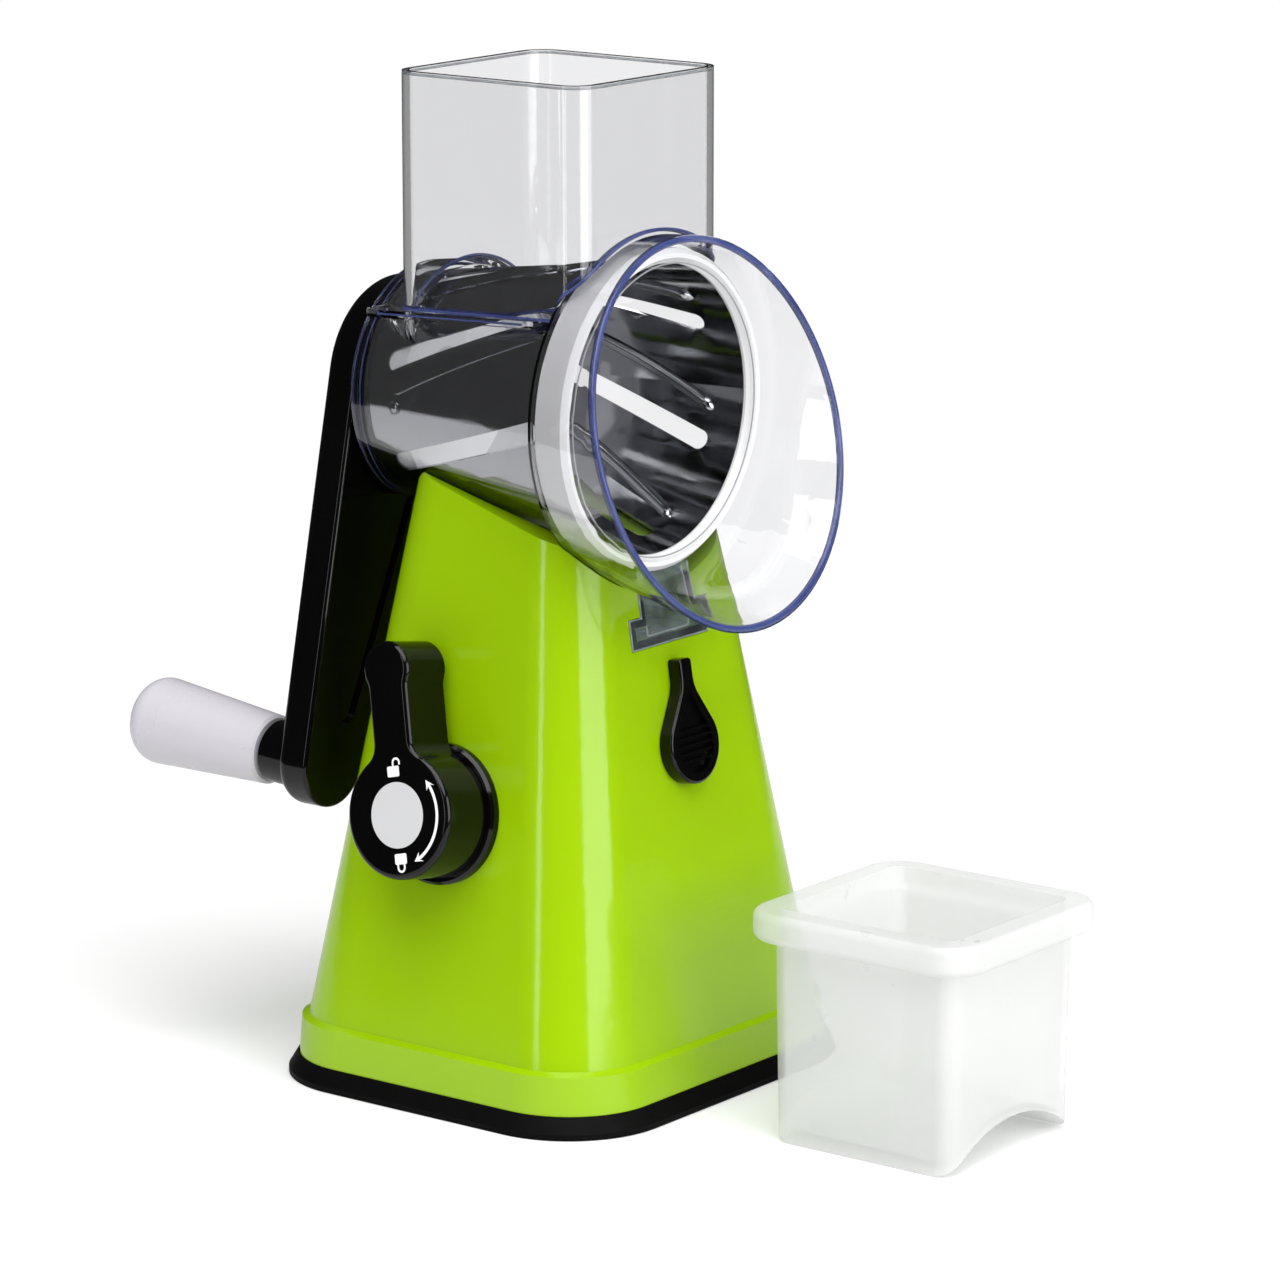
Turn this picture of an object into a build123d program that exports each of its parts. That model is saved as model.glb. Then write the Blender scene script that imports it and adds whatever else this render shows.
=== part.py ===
from build123d import *
import math
import os

# Tabletop rotary drum grater, in millimetres. +Z is up, the barrel lies along Y with its mouth
# towards -Y, the crank hangs at +Y, and the suction lever is on the -X wall. The origin is the
# centre of the tower's foot on the table.

# Overall sizes
OVERALL_HEIGHT = 290.0
CHUTE_RISE = 93.8
AXIS_Z = OVERALL_HEIGHT - CHUTE_RISE

# Tower: a tapering box with large vertical corners
FOOT_Z = 18.0
FOOT_X = 125.2
FOOT_Y = 113.3
FOOT_R = 24.0
NECK_Z = AXIS_Z - 16.2
NECK_X = 68.3
NECK_Y = 62.0
NECK_R = 15.0
TOWER_WALL = 2.6
SADDLE_DROP = 26.8
SADDLE_SLOPE = 16.2
BAND_BOTTOM_Z = 6.0
BAND_TOP_STEP = 2.2
BAND_BOTTOM_STEP = 3.1
BAND_WALL = 3.0

# Rubber suction pad
PAD_EDGE = 3.2
PAD_EDGE_H = 1.6

# Drum
DRUM_BACK_Y = 44.5
DRUM_BACK_R = 32.3
DRUM_FRONT_Y = -33.8
DRUM_FRONT_R = 41.9
STEEL = 0.6
SLOT_COUNT = 7
SLOT_LENGTH = 64.0
SLOT_WIDTH = 5.6
SLOT_SLANT = 18.5
SLOT_TURN = -3.4
BLADE_WIDTH = 6.5
BLADE_PROUD = 0.6
RING_R = DRUM_FRONT_R + 3.8
RING_LENGTH = 10.5
RING_FRONT = 3.7
RIVET_TURN = 9.4

# Clear hopper
HOPPER_WALL = 2.0
DRUM_GAP = 1.1
CHUTE_X = 67.0
CHUTE_Y = 67.4
CHUTE_R = 8.0
CHUTE_WALL = 2.2
CHUTE_CENTRE_Y = 0.9
BACK_WALL = 2.0
BACK_RIM = 1.9
RIM_R = 56.2
RIM_Y = -56.4
RIM_DROP = 4.5
RIM_TILT = 14.7
SPINDLE_BOSS_R = 11.5
TONGUE_FOOT_W = 35.2
TONGUE_FOOT_H = 8.5
TONGUE_STEM_W = 24.0
TONGUE_BOTTOM_Z = AXIS_Z - 66.2
TONGUE_BACK_Y = 20.0
TONGUE_WALL = 2.4
LEDGE_Z = AXIS_Z + 25.8
LEDGE_H = 2.2
LEDGE_PROUD = 2.5
LEDGE_TILT = 2.2

# Crank
CRANK_ANGLE = 20.6
CRANK_LENGTH = 115.0
CRANK_HUB_R = 29.5
CRANK_END_R = 13.0
CRANK_THICK = 12.0
CRANK_GAP = 2.8
SPINDLE_R = 7.95
HEX_AF = 12.0
COLLAR_R = 9.2
COLLAR_LENGTH = 10.5
GRIP_NEAR_R = 10.3
GRIP_FAR_R = 12.9
GRIP_LENGTH = 49.0
GRIP_PIN_R = 3.0
GRIP_TILT = 3.5

# Suction lever and its cam
KNOB_Y = 3.0
KNOB_UP_WALL = 66.5
KNOB_R = 18.2
KNOB_DEPTH = 20.5
BEZEL_R = 20.2
BEZEL_H = 3.0
LEVER_LENGTH = 41.0
LEVER_END_R = 8.0
LEVER_NECK = 13.6
LEVER_REST = 14.0
CAP_R = 9.3
CAP_H = 2.0
SHAFT_R = 4.0
CAM_R = 7.0
CAM_THICK = 6.0
PAD_LIFT = 5.0

# Release button and latch, placed by the height of the button's centre
BUTTON_Z = TONGUE_BOTTOM_Z - 22.8
BUTTON_R = 11.2
BUTTON_TIP_R = 2.8
BUTTON_STEM = 9.0
BUTTON_LENGTH = 36.0
BUTTON_PROUD = 4.6
BUTTON_TRAVEL = 5.5
TONGUE_GRIP = 3.5
SLIDE_THICK = 5.0
SLIDE_W = 16.0

# Food pusher, standing in front of the tower
PUSHER_X = 3.0
PUSHER_Y = -125.0
PUSHER_WALL = 1.8
PUSHER_TAPER = 1.6
PUSHER_RIM_W = 6.3
PUSHER_RIM_H = 8.6
PUSHER_RIM_ROUND = 2.4
PUSHER_RING_GAP = 1.0

# Clearances
RUN = 0.06
SNUG = 0.05
SLIDE = 0.3

# Foot, screws and pull rod
BASE_PLATE_H = 3.0
BOSS_R = 4.5
BOSS_TOP_Z = 42.0
BOSS_INSET = 16.0
RIB_HALF = 1.2
SCREW_SHANK_R = 1.7
SCREW_HEAD_R = 3.4
SCREW_HEAD_H = 1.8
SCREW_LENGTH = 14.0
SMALL_SCREW_R = 1.2
SMALL_HEAD_R = 2.6
SMALL_HEAD_H = 1.6
FRAME_SCREW_R = 1.5
DOME_R = 23.0
DOME_TOP_Z = 31.0
DOME_WALL = 2.5
DOME_ROOF = 3.0
ROD_R = 4.0
INSERT_R = 18.0
INSERT_H = 2.0
STUD_R = 2.5
STUD_GRIP = 9.0
NUT_H = 3.0
YOKE_T = 5.0
YOKE_RIM = 3.6
PAD_SPRING_R = 8.0
PAD_SPRING_WIRE_R = 0.7
FRAME_X = 10.0
FRAME_T = 4.0
FRAME_W = 24.0
FRAME_BASE = 2.5
FRAME_SCREW_Y = 9.0
FRAME_RISE = 10.0

# Shaft of the suction lever, by depth along its axis from the wall
SHAFT_OUT = 15.0
SHAFT_PAST_FRAME = 4.4
CLIP_GROOVE = 0.8
CLIP_T = 0.8
KNOB_SCREW_R = 1.9
KNOB_HEAD_R = 3.6
CAM_PIN_R = 1.2

# Latch parts, in the front wall's own frame about the button's centre
NOSE_HALF = 5.0
NECK_W = 7.0
NECK_LOW = -9.0
NECK_HIGH = 3.0
SLIDE_LOW = -18.0
SLIDE_HIGH = 18.0
BUTTON_SCREW_Y = -3.0
BUTTON_RIBS = 5
BUTTON_RIB_PITCH = 2.2
GUIDE_X = 14.5
GUIDE_PLATE = 2.0
GUIDE_RAIL = 1.8
GUIDE_LOW = -32.0
GUIDE_HIGH = 2.0
GUIDE_SCREW_Y = -9.0
GUIDE_BOSS_R = 3.6
LATCH_SPRING_R = 1.9
LATCH_WIRE_R = 0.35

# Drum back and rivets
HUB_R = 10.0
HUB_FRONT_Y = 27.0
BACK_DISC = 3.2
RIVET_R = 1.2
RIVET_HEAD_R = 2.0
RIVET_INSET = 11.5
BACK_RIM_LENGTH = 14.5

# Crank fittings
HUB_CAP_R = 12.0
HUB_CAP_SEAT = 1.2
SPINDLE_SCREW_R = 2.0
SPINDLE_HEAD_R = 3.8
SPINDLE_SEAT = 4.5
CAP_SEAT = 6.0
GRIP_CAP_R = 7.5
GRIP_DOME = 7.0

DRUM_SLOPE = (DRUM_FRONT_R - DRUM_BACK_R) / (DRUM_BACK_Y - DRUM_FRONT_Y)
SIDE_TILT = math.degrees(math.atan((FOOT_X - NECK_X) / 2 / (NECK_Z - FOOT_Z)))
FRONT_TILT = math.degrees(math.atan((FOOT_Y - NECK_Y) / 2 / (NECK_Z - FOOT_Z)))
RING_FRONT_Y = DRUM_FRONT_Y - RING_FRONT
RING_BACK_Y = RING_FRONT_Y + RING_LENGTH
SHOULDER_Y = RING_BACK_Y + 0.6
BARREL_FRONT_Y = SHOULDER_Y + 3.0
BACK_WALL_Y = DRUM_BACK_Y + 0.8
BARREL_BACK_Y = BACK_WALL_Y + BACK_WALL + BACK_RIM
CRANK_FRONT_Y = BARREL_BACK_Y + CRANK_GAP
CRANK_BACK_Y = CRANK_FRONT_Y + CRANK_THICK
GRIP_FRONT_Y = CRANK_BACK_Y + COLLAR_LENGTH + SLIDE
GRIP_BACK_Y = GRIP_FRONT_Y + GRIP_LENGTH
DISC_Y = DRUM_BACK_Y - BACK_DISC
GUIDE_Z = TOWER_WALL + SLIDE + SLIDE_THICK + SLIDE
SLIDE_FACES = (-TOWER_WALL - SLIDE - SLIDE_THICK, -TOWER_WALL - SLIDE)
WINDOW_SIDE = CAM_R + PAD_LIFT + 0.8
WINDOW_LOW = CAM_R + PAD_LIFT + 1.2
WINDOW_HIGH = CAM_R + 0.45

BARREL = Plane(origin=(0, 0, AXIS_Z), x_dir=(1, 0, 0), z_dir=(0, 1, 0))


def sine(angle):
    return math.sin(math.radians(angle))


def cosine(angle):
    return math.cos(math.radians(angle))


def tower_share(z):
    return (z - FOOT_Z) / (NECK_Z - FOOT_Z)


def tower_x(z):
    """Half the tower's outer width along X at height z."""
    return (FOOT_X + (NECK_X - FOOT_X) * tower_share(z)) / 2


def tower_y(z):
    """Half the tower's outer width along Y at height z."""
    return (FOOT_Y + (NECK_Y - FOOT_Y) * tower_share(z)) / 2


def drum_r(y):
    """Outer radius of the steel cone at y."""
    return DRUM_BACK_R + (DRUM_BACK_Y - y) * DRUM_SLOPE


def rounded(width, depth, radius, z):
    return Pos(0, 0, z) * RectangleRounded(width, depth, radius)


def tower_section(z, inset=0.0):
    radius = FOOT_R + (NECK_R - FOOT_R) * tower_share(z)
    return rounded(2 * (tower_x(z) - inset), 2 * (tower_y(z) - inset), radius - inset, z)


def turned(profile, plane):
    """A solid of revolution about a plane's normal, from (radius, height) points."""
    outline = Polyline(*[(r, 0, h) for r, h in profile], close=True)
    return plane * revolve(make_face(outline), Axis.Z)


def post(plane, radius, low, high, x=0.0, y=0.0):
    """A cylinder along a plane's normal between two heights."""
    body = Cylinder(radius, high - low, align=(Align.CENTER, Align.CENTER, Align.MIN))
    return plane * (Pos(x, y, low) * body)


def block(plane, xs, ys, zs):
    """A box between two corners given in a plane's own axes."""
    body = Box(xs[1] - xs[0], ys[1] - ys[0], zs[1] - zs[0], align=(Align.MIN,) * 3)
    return plane * (Pos(xs[0], ys[0], zs[0]) * body)


def drop_outline(low_r, low_y, high_r, high_y):
    """A face bounded by two circles on the Y axis and their common tangents."""
    lean = math.asin((low_r - high_r) / (high_y - low_y))
    side_x = math.cos(lean)
    side_y = math.sin(lean)
    left_low = (-low_r * side_x, low_y + low_r * side_y)
    left_high = (-high_r * side_x, high_y + high_r * side_y)
    quad = make_face(Polyline(left_low, left_high, (-left_high[0], left_high[1]),
                              (-left_low[0], left_low[1]), close=True))
    return Pos(0, low_y) * Circle(low_r) + quad + Pos(0, high_y) * Circle(high_r)


def coil_spring(radius, wire, length, turns):
    """A compression spring along +Z from the origin."""
    path = Helix(pitch=(length - 2 * wire) / turns, height=length - 2 * wire, radius=radius)
    profile = Plane(origin=path @ 0, z_dir=path % 0) * Circle(wire)
    return Pos(0, 0, wire) * sweep(profile, path=path)


KNOB_W = (-tower_x(FOOT_Z + KNOB_UP_WALL * cosine(SIDE_TILT)), KNOB_Y,
          FOOT_Z + KNOB_UP_WALL * cosine(SIDE_TILT))
KNOB_N = (-cosine(SIDE_TILT), 0, sine(SIDE_TILT))
KNOB = Plane(origin=KNOB_W, x_dir=(sine(SIDE_TILT), 0, cosine(SIDE_TILT)), z_dir=KNOB_N)
CAM_DEPTH = KNOB_W[0] / cosine(SIDE_TILT)
CAM_Z = KNOB_W[2] + CAM_DEPTH * sine(SIDE_TILT)
CAM_FACES = (CAM_DEPTH - CAM_THICK / 2, CAM_DEPTH + CAM_THICK / 2)
SHAFT_IN = CAM_DEPTH - FRAME_X - FRAME_T - SHAFT_PAST_FRAME
FRONT = Plane(origin=(0, -tower_y(BUTTON_Z), BUTTON_Z), x_dir=(1, 0, 0),
              z_dir=(0, -cosine(FRONT_TILT), sine(FRONT_TILT)))


# ---------------------------------------------------------------- hopper
def flare(root_r, rim_r, root_y):
    """The drip flare: a ruled skin from a circle on the barrel axis to the tilted rim."""
    root = Plane(origin=(0, root_y, AXIS_Z), x_dir=(1, 0, 0), z_dir=(0, -1, 0)) * Circle(root_r)
    rim_plane = Plane(origin=(0, RIM_Y, AXIS_Z - RIM_DROP), x_dir=(1, 0, 0),
                      z_dir=(0, -cosine(RIM_TILT), sine(RIM_TILT)))
    return loft([root, rim_plane * Circle(rim_r)], ruled=True)


def hopper_envelope(grow=0.0):
    """Outer form of barrel, shoulder and flare, grown by a clearance."""
    skin = DRUM_GAP + HOPPER_WALL + grow
    shoulder_r = RING_R + skin
    barrel = turned([(0, BARREL_BACK_Y + grow), (drum_r(BARREL_BACK_Y) + skin, BARREL_BACK_Y + grow),
                     (drum_r(BARREL_FRONT_Y) + skin, BARREL_FRONT_Y), (shoulder_r, SHOULDER_Y),
                     (0, SHOULDER_Y)], BARREL)
    return barrel + flare(shoulder_r, RIM_R + grow, SHOULDER_Y)


def hopper_room():
    """The hollow inside barrel, shoulder and flare."""
    shoulder_r = RING_R + DRUM_GAP
    inner_front_y = BARREL_FRONT_Y - 0.4
    barrel = turned([(0, BACK_WALL_Y), (drum_r(BACK_WALL_Y) + DRUM_GAP, BACK_WALL_Y),
                     (drum_r(inner_front_y) + DRUM_GAP, inner_front_y),
                     (shoulder_r, SHOULDER_Y - 0.4), (0, SHOULDER_Y - 0.4)], BARREL)
    return barrel + flare(shoulder_r, RIM_R - HOPPER_WALL, SHOULDER_Y - 0.4)


def tongue(grow, front_grow):
    """The inverted T that slides in the tower, closed at its back end."""
    half_foot = TONGUE_FOOT_W / 2 + grow
    half_stem = TONGUE_STEM_W / 2 + grow
    low = TONGUE_BOTTOM_Z - grow
    foot_top = TONGUE_BOTTOM_Z + TONGUE_FOOT_H + grow
    ys = (-FOOT_Y, TONGUE_BACK_Y + grow)
    foot = block(Plane.XY, (-half_foot, half_foot), ys, (low, foot_top))
    stem = block(Plane.XY, (-half_stem, half_stem), ys, (low, AXIS_Z - DRUM_BACK_R / 2))
    past_wall = block(FRONT, (-FOOT_X, FOOT_X), (-FOOT_X, FOOT_X), (front_grow, FOOT_Y * 2))
    return foot + stem - past_wall


def tongue_hollow():
    half_foot = TONGUE_FOOT_W / 2 - TONGUE_WALL
    half_stem = TONGUE_STEM_W / 2 - TONGUE_WALL
    low = TONGUE_BOTTOM_Z + TONGUE_WALL
    foot_top = TONGUE_BOTTOM_Z + TONGUE_FOOT_H - TONGUE_WALL
    ys = (-FOOT_Y, TONGUE_BACK_Y - TONGUE_WALL)
    foot = block(Plane.XY, (-half_foot, half_foot), ys, (low, foot_top))
    stem = block(Plane.XY, (-half_stem, half_stem), ys, (low, AXIS_Z - DRUM_BACK_R / 2))
    return foot + stem - hopper_envelope()


def side_ledges():
    """The flat plate at the chute's foot, which falls a little to the back and stands out on both sides."""
    half = CHUTE_X / 2 + LEDGE_PROUD
    front_y = BARREL_FRONT_Y + 5
    depth = BARREL_BACK_Y - 6 - front_y
    outline = Pos(0, depth / 2) * RectangleRounded(2 * half, depth, LEDGE_PROUD)
    return Pos(0, front_y, LEDGE_Z) * (Rot(-LEDGE_TILT, 0, 0) * extrude(outline, LEDGE_H))


def make_hopper():
    chute = extrude(Pos(0, CHUTE_CENTRE_Y, AXIS_Z) * RectangleRounded(CHUTE_X, CHUTE_Y, CHUTE_R),
                    OVERALL_HEIGHT - AXIS_Z)
    shaft = extrude(Pos(0, CHUTE_CENTRE_Y, AXIS_Z) * RectangleRounded(
        CHUTE_X - 2 * CHUTE_WALL, CHUTE_Y - 2 * CHUTE_WALL, CHUTE_R - CHUTE_WALL),
        OVERALL_HEIGHT - AXIS_Z)
    body = hopper_envelope() + chute + side_ledges()
    body = body + (tongue(0, 0) - hopper_envelope()) - hopper_room() - shaft - tongue_hollow()
    rim_room = turned([(0, BACK_WALL_Y + BACK_WALL),
                       (drum_r(BARREL_BACK_Y) + DRUM_GAP, BACK_WALL_Y + BACK_WALL),
                       (drum_r(BARREL_BACK_Y) + DRUM_GAP, BARREL_BACK_Y + 1),
                       (0, BARREL_BACK_Y + 1)], BARREL)
    body = body - rim_room + post(BARREL, SPINDLE_BOSS_R, BACK_WALL_Y, BARREL_BACK_Y + 1.0)
    body = body - post(BARREL, SPINDLE_R + RUN, BACK_WALL_Y - 5, BARREL_BACK_Y + 5)
    return body - latch_way(SLIDE)


# ---------------------------------------------------------------- tower
def latch_way(grow):
    """The straight way of the latch's nose, up the front wall."""
    depth = TOWER_WALL + SLIDE
    return block(FRONT, (-NOSE_HALF - grow, NOSE_HALF + grow), (10, slide_top() + grow),
                 (-depth - SLIDE_THICK - grow, -depth + grow))


def slide_top():
    """Top of the latch's nose in the front wall's frame, with the button up."""
    return (TONGUE_BOTTOM_Z + TONGUE_GRIP - BUTTON_Z) / cosine(FRONT_TILT)


def above_saddle(drop):
    """Everything above the slanted plane of the tower's upper edge, or above one lower by drop."""
    plane = Plane(origin=(0, 0, AXIS_Z - SADDLE_DROP - drop), x_dir=(1, 0, 0),
                  z_dir=(0, -sine(SADDLE_SLOPE), cosine(SADDLE_SLOPE)))
    return block(plane, (-FOOT_X, FOOT_X), (-FOOT_Y, FOOT_Y), (0, AXIS_Z))


def make_tower():
    top_z = AXIS_Z
    outer = loft([tower_section(FOOT_Z), tower_section(top_z)], ruled=True)
    band_low = rounded(FOOT_X + 2 * BAND_BOTTOM_STEP, FOOT_Y + 2 * BAND_BOTTOM_STEP,
                       FOOT_R + BAND_BOTTOM_STEP, BAND_BOTTOM_Z)
    band_high = rounded(FOOT_X + 2 * BAND_TOP_STEP, FOOT_Y + 2 * BAND_TOP_STEP,
                        FOOT_R + BAND_TOP_STEP, FOOT_Z - 1.0)
    band_lip = rounded(FOOT_X, FOOT_Y, FOOT_R, FOOT_Z)
    band = loft([band_low, band_high], ruled=True) + loft([band_high, band_lip], ruled=True)
    room = loft([tower_section(FOOT_Z, TOWER_WALL), tower_section(top_z, TOWER_WALL)], ruled=True)
    room = room - hopper_envelope(SLIDE + TOWER_WALL) - above_saddle(TOWER_WALL)
    half_foot = TONGUE_FOOT_W / 2 + SLIDE + TOWER_WALL
    channel = block(Plane.XY, (-half_foot, half_foot), (-FOOT_Y, TONGUE_BACK_Y + SLIDE + TOWER_WALL),
                    (TONGUE_BOTTOM_Z - SLIDE - TOWER_WALL, AXIS_Z - DRUM_BACK_R))
    foot_room = extrude(tower_section(FOOT_Z, TOWER_WALL), -(FOOT_Z - BAND_BOTTOM_Z) + 3.0)
    base_room = extrude(rounded(base_x(), base_y(), base_r(), BAND_BOTTOM_Z),
                        FOOT_Z - 4.0 - BAND_BOTTOM_Z)
    tower = outer + band - foot_room - base_room - (room - channel)
    tower = tower + (base_bosses() & outer) + knob_boss() + guide_bosses()
    tower = tower - above_saddle(0) - hopper_envelope(SLIDE) - tongue(SLIDE, SLIDE) - latch_way(0.5)
    tower = tower - base_screw_holes() - post(KNOB, SHAFT_R + RUN, -FOOT_X / 3, 10)
    return tower - button_window() - guide_holes()


def base_x():
    return FOOT_X + 2 * BAND_TOP_STEP - 2 * BAND_WALL


def base_y():
    return FOOT_Y + 2 * BAND_TOP_STEP - 2 * BAND_WALL


def base_r():
    return FOOT_R + BAND_TOP_STEP - BAND_WALL


def base_corners():
    x = base_x() / 2 - BOSS_INSET
    y = base_y() / 2 - BOSS_INSET
    return [(x, y), (-x, y), (-x, -y), (x, -y)]


def base_bosses():
    low = BAND_BOTTOM_Z + BASE_PLATE_H
    bosses = Part()
    for x, y in base_corners():
        bosses += post(Plane.XY, BOSS_R, low, BOSS_TOP_Z, x, y)
        corner = Plane(origin=(x, y, 0), x_dir=(math.copysign(1, x), math.copysign(1, y), 0),
                       z_dir=(0, 0, 1))
        bosses += block(corner, (0, FOOT_X / 3), (-RIB_HALF, RIB_HALF), (FOOT_Z + 1, BOSS_TOP_Z))
    return bosses


def base_screw_holes():
    low = BAND_BOTTOM_Z + BASE_PLATE_H
    holes = Part()
    for x, y in base_corners():
        holes += post(Plane.XY, SCREW_SHANK_R + SNUG, low - 1, low + SCREW_LENGTH, x, y)
    return holes


def knob_boss():
    return post(KNOB, SHAFT_R + 4.0, -16, -TOWER_WALL / 2)


def guide_bosses():
    return (post(FRONT, GUIDE_BOSS_R, -GUIDE_Z, -TOWER_WALL / 2, GUIDE_X, GUIDE_SCREW_Y)
            + post(FRONT, GUIDE_BOSS_R, -GUIDE_Z, -TOWER_WALL / 2, -GUIDE_X, GUIDE_SCREW_Y))


def guide_holes():
    bore = SMALL_SCREW_R + SNUG
    return (post(FRONT, bore, -GUIDE_Z - 1, -TOWER_WALL - 0.6, GUIDE_X, GUIDE_SCREW_Y)
            + post(FRONT, bore, -GUIDE_Z - 1, -TOWER_WALL - 0.6, -GUIDE_X, GUIDE_SCREW_Y))


def button_window():
    return block(FRONT, (-NECK_W / 2 - 0.4, NECK_W / 2 + 0.4),
                 (NECK_LOW - BUTTON_TRAVEL - 0.5, NECK_HIGH + 0.5), (-TOWER_WALL - 1, 1))


# ---------------------------------------------------------------- foot
def make_suction_pad():
    skirt_x = FOOT_X + 2 * (BAND_BOTTOM_STEP + PAD_EDGE)
    skirt_y = FOOT_Y + 2 * (BAND_BOTTOM_STEP + PAD_EDGE)
    low = rounded(skirt_x, skirt_y, FOOT_R + BAND_BOTTOM_STEP + PAD_EDGE, 0)
    mid = rounded(skirt_x, skirt_y, FOOT_R + BAND_BOTTOM_STEP + PAD_EDGE, PAD_EDGE_H)
    top = rounded(FOOT_X + 2 * BAND_BOTTOM_STEP + 1, FOOT_Y + 2 * BAND_BOTTOM_STEP + 1,
                  FOOT_R + BAND_BOTTOM_STEP + 0.5, BAND_BOTTOM_Z)
    return extrude(low, PAD_EDGE_H) + loft([mid, top], ruled=True)


def make_base_plate():
    low = BAND_BOTTOM_Z
    plate = extrude(rounded(base_x() - 2 * SLIDE, base_y() - 2 * SLIDE, base_r() - SLIDE, low),
                    BASE_PLATE_H)
    plate += post(Plane.XY, DOME_R, low, DOME_TOP_Z)
    plate -= post(Plane.XY, DOME_R - DOME_WALL, low, DOME_TOP_Z - DOME_ROOF)
    plate -= post(Plane.XY, ROD_R + SLIDE, low, DOME_TOP_Z + 1)
    for x, y in base_corners():
        plate -= post(Plane.XY, SCREW_SHANK_R + SLIDE, low, low + BASE_PLATE_H + 1, x, y)
        plate -= post(Plane.XY, SCREW_HEAD_R + SLIDE, low - 1, low + SCREW_HEAD_H, x, y)
    for x, y in frame_screw_places():
        plate -= post(Plane.XY, FRAME_SCREW_R + SNUG, DOME_TOP_Z - 2.8, DOME_TOP_Z + 1, x, y)
    return plate


def make_base_screws():
    low = BAND_BOTTOM_Z
    screws = Part()
    for x, y in base_corners():
        screws += post(Plane.XY, SCREW_HEAD_R, low + 0.2, low + SCREW_HEAD_H, x, y)
        screws += post(Plane.XY, SCREW_SHANK_R, low + SCREW_HEAD_H, low + SCREW_LENGTH, x, y)
    return screws


def make_pad_insert():
    low = BAND_BOTTOM_Z
    stud_top = low + INSERT_H + NUT_H + STUD_GRIP
    return post(Plane.XY, INSERT_R, low, low + INSERT_H) + post(Plane.XY, STUD_R, low, stud_top)


def make_insert_nut():
    low = BAND_BOTTOM_Z + INSERT_H
    nut = extrude(Pos(0, 0, low) * RegularPolygon(2 * STUD_R, 6), NUT_H)
    return nut - post(Plane.XY, STUD_R + SNUG, low - 1, low + NUT_H + 1)


def make_pull_yoke():
    low_z = CAM_Z - WINDOW_LOW - YOKE_RIM
    head = block(Plane.XY, (-YOKE_T / 2, YOKE_T / 2),
                 (KNOB_Y - WINDOW_SIDE - YOKE_RIM, KNOB_Y + WINDOW_SIDE + YOKE_RIM),
                 (low_z, CAM_Z + WINDOW_HIGH + YOKE_RIM))
    head -= block(KNOB, (-WINDOW_LOW, WINDOW_HIGH), (-WINDOW_SIDE, WINDOW_SIDE),
                  (CAM_DEPTH - 10, CAM_DEPTH + 10))
    start = BAND_BOTTOM_Z + INSERT_H + NUT_H
    rod = post(Plane.XY, ROD_R, start, low_z + 1)
    return head + rod - post(Plane.XY, STUD_R + SNUG, start - 1, start + STUD_GRIP + 0.5)


def make_pad_spring():
    low = BAND_BOTTOM_Z + INSERT_H + 0.1
    length = DOME_TOP_Z - DOME_ROOF - 0.1 - low
    return Pos(0, 0, low) * coil_spring(PAD_SPRING_R, PAD_SPRING_WIRE_R, length, 5)


def frame_screw_places():
    x = FRAME_X + FRAME_T + SMALL_HEAD_R + 0.4
    return [(x, FRAME_SCREW_Y), (x, -FRAME_SCREW_Y), (-x, FRAME_SCREW_Y), (-x, -FRAME_SCREW_Y)]


def make_cam_frame():
    """A U-shaped bracket that carries the cam shaft on both sides of the yoke."""
    reach = FRAME_X + FRAME_T
    frame = block(Plane.XY, (-DOME_R + 2, DOME_R - 2), (-FRAME_W / 2, FRAME_W / 2),
                  (DOME_TOP_Z, DOME_TOP_Z + FRAME_BASE))
    for side in (-1, 1):
        xs = sorted((side * FRAME_X, side * reach))
        frame += block(Plane.XY, xs, (KNOB_Y - FRAME_W / 2, KNOB_Y + FRAME_W / 2),
                       (DOME_TOP_Z, CAM_Z + FRAME_RISE))
    frame -= post(Plane.XY, ROD_R + SLIDE, DOME_TOP_Z - 1, DOME_TOP_Z + 5)
    frame -= post(KNOB, SHAFT_R + RUN, CAM_DEPTH - 30, CAM_DEPTH + 30)
    for x, y in frame_screw_places():
        frame -= post(Plane.XY, FRAME_SCREW_R + SLIDE, DOME_TOP_Z - 1, DOME_TOP_Z + 5, x, y)
    return frame


def make_frame_screws():
    top = DOME_TOP_Z + FRAME_BASE
    screws = Part()
    for x, y in frame_screw_places():
        screws += post(Plane.XY, SMALL_HEAD_R, top, top + SMALL_HEAD_H, x, y)
        screws += post(Plane.XY, FRAME_SCREW_R, DOME_TOP_Z - 2.5, top, x, y)
    return screws


# ---------------------------------------------------------------- suction lever
def cam_radius(turn):
    """Edge radius at an angle in degrees: a steady rise over the half turn, then a return."""
    rise = PAD_LIFT * cosine(SIDE_TILT)
    dwell = 25.0
    if turn <= 180:
        return CAM_R + rise * turn / 180
    if turn <= 180 + dwell:
        return CAM_R + rise
    if turn <= 360 - dwell:
        return CAM_R + rise * (360 - dwell - turn) / (180 - 2 * dwell)
    return CAM_R


def make_lift_cam():
    step = 7.5
    points = []
    for i in range(int(360 / step)):
        turn = i * step
        points.append((cam_radius(turn) * cosine(turn), cam_radius(turn) * sine(turn)))
    plate = extrude(make_face(Polyline(*points, close=True)), CAM_THICK)
    cam = KNOB * (Pos(0, 0, CAM_FACES[0]) * plate)
    cam -= post(KNOB, SHAFT_R + SNUG, CAM_FACES[0] - 1, CAM_FACES[1] + 1)
    return cam - cam_pin_rod(CAM_PIN_R + SNUG, 20)


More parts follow.
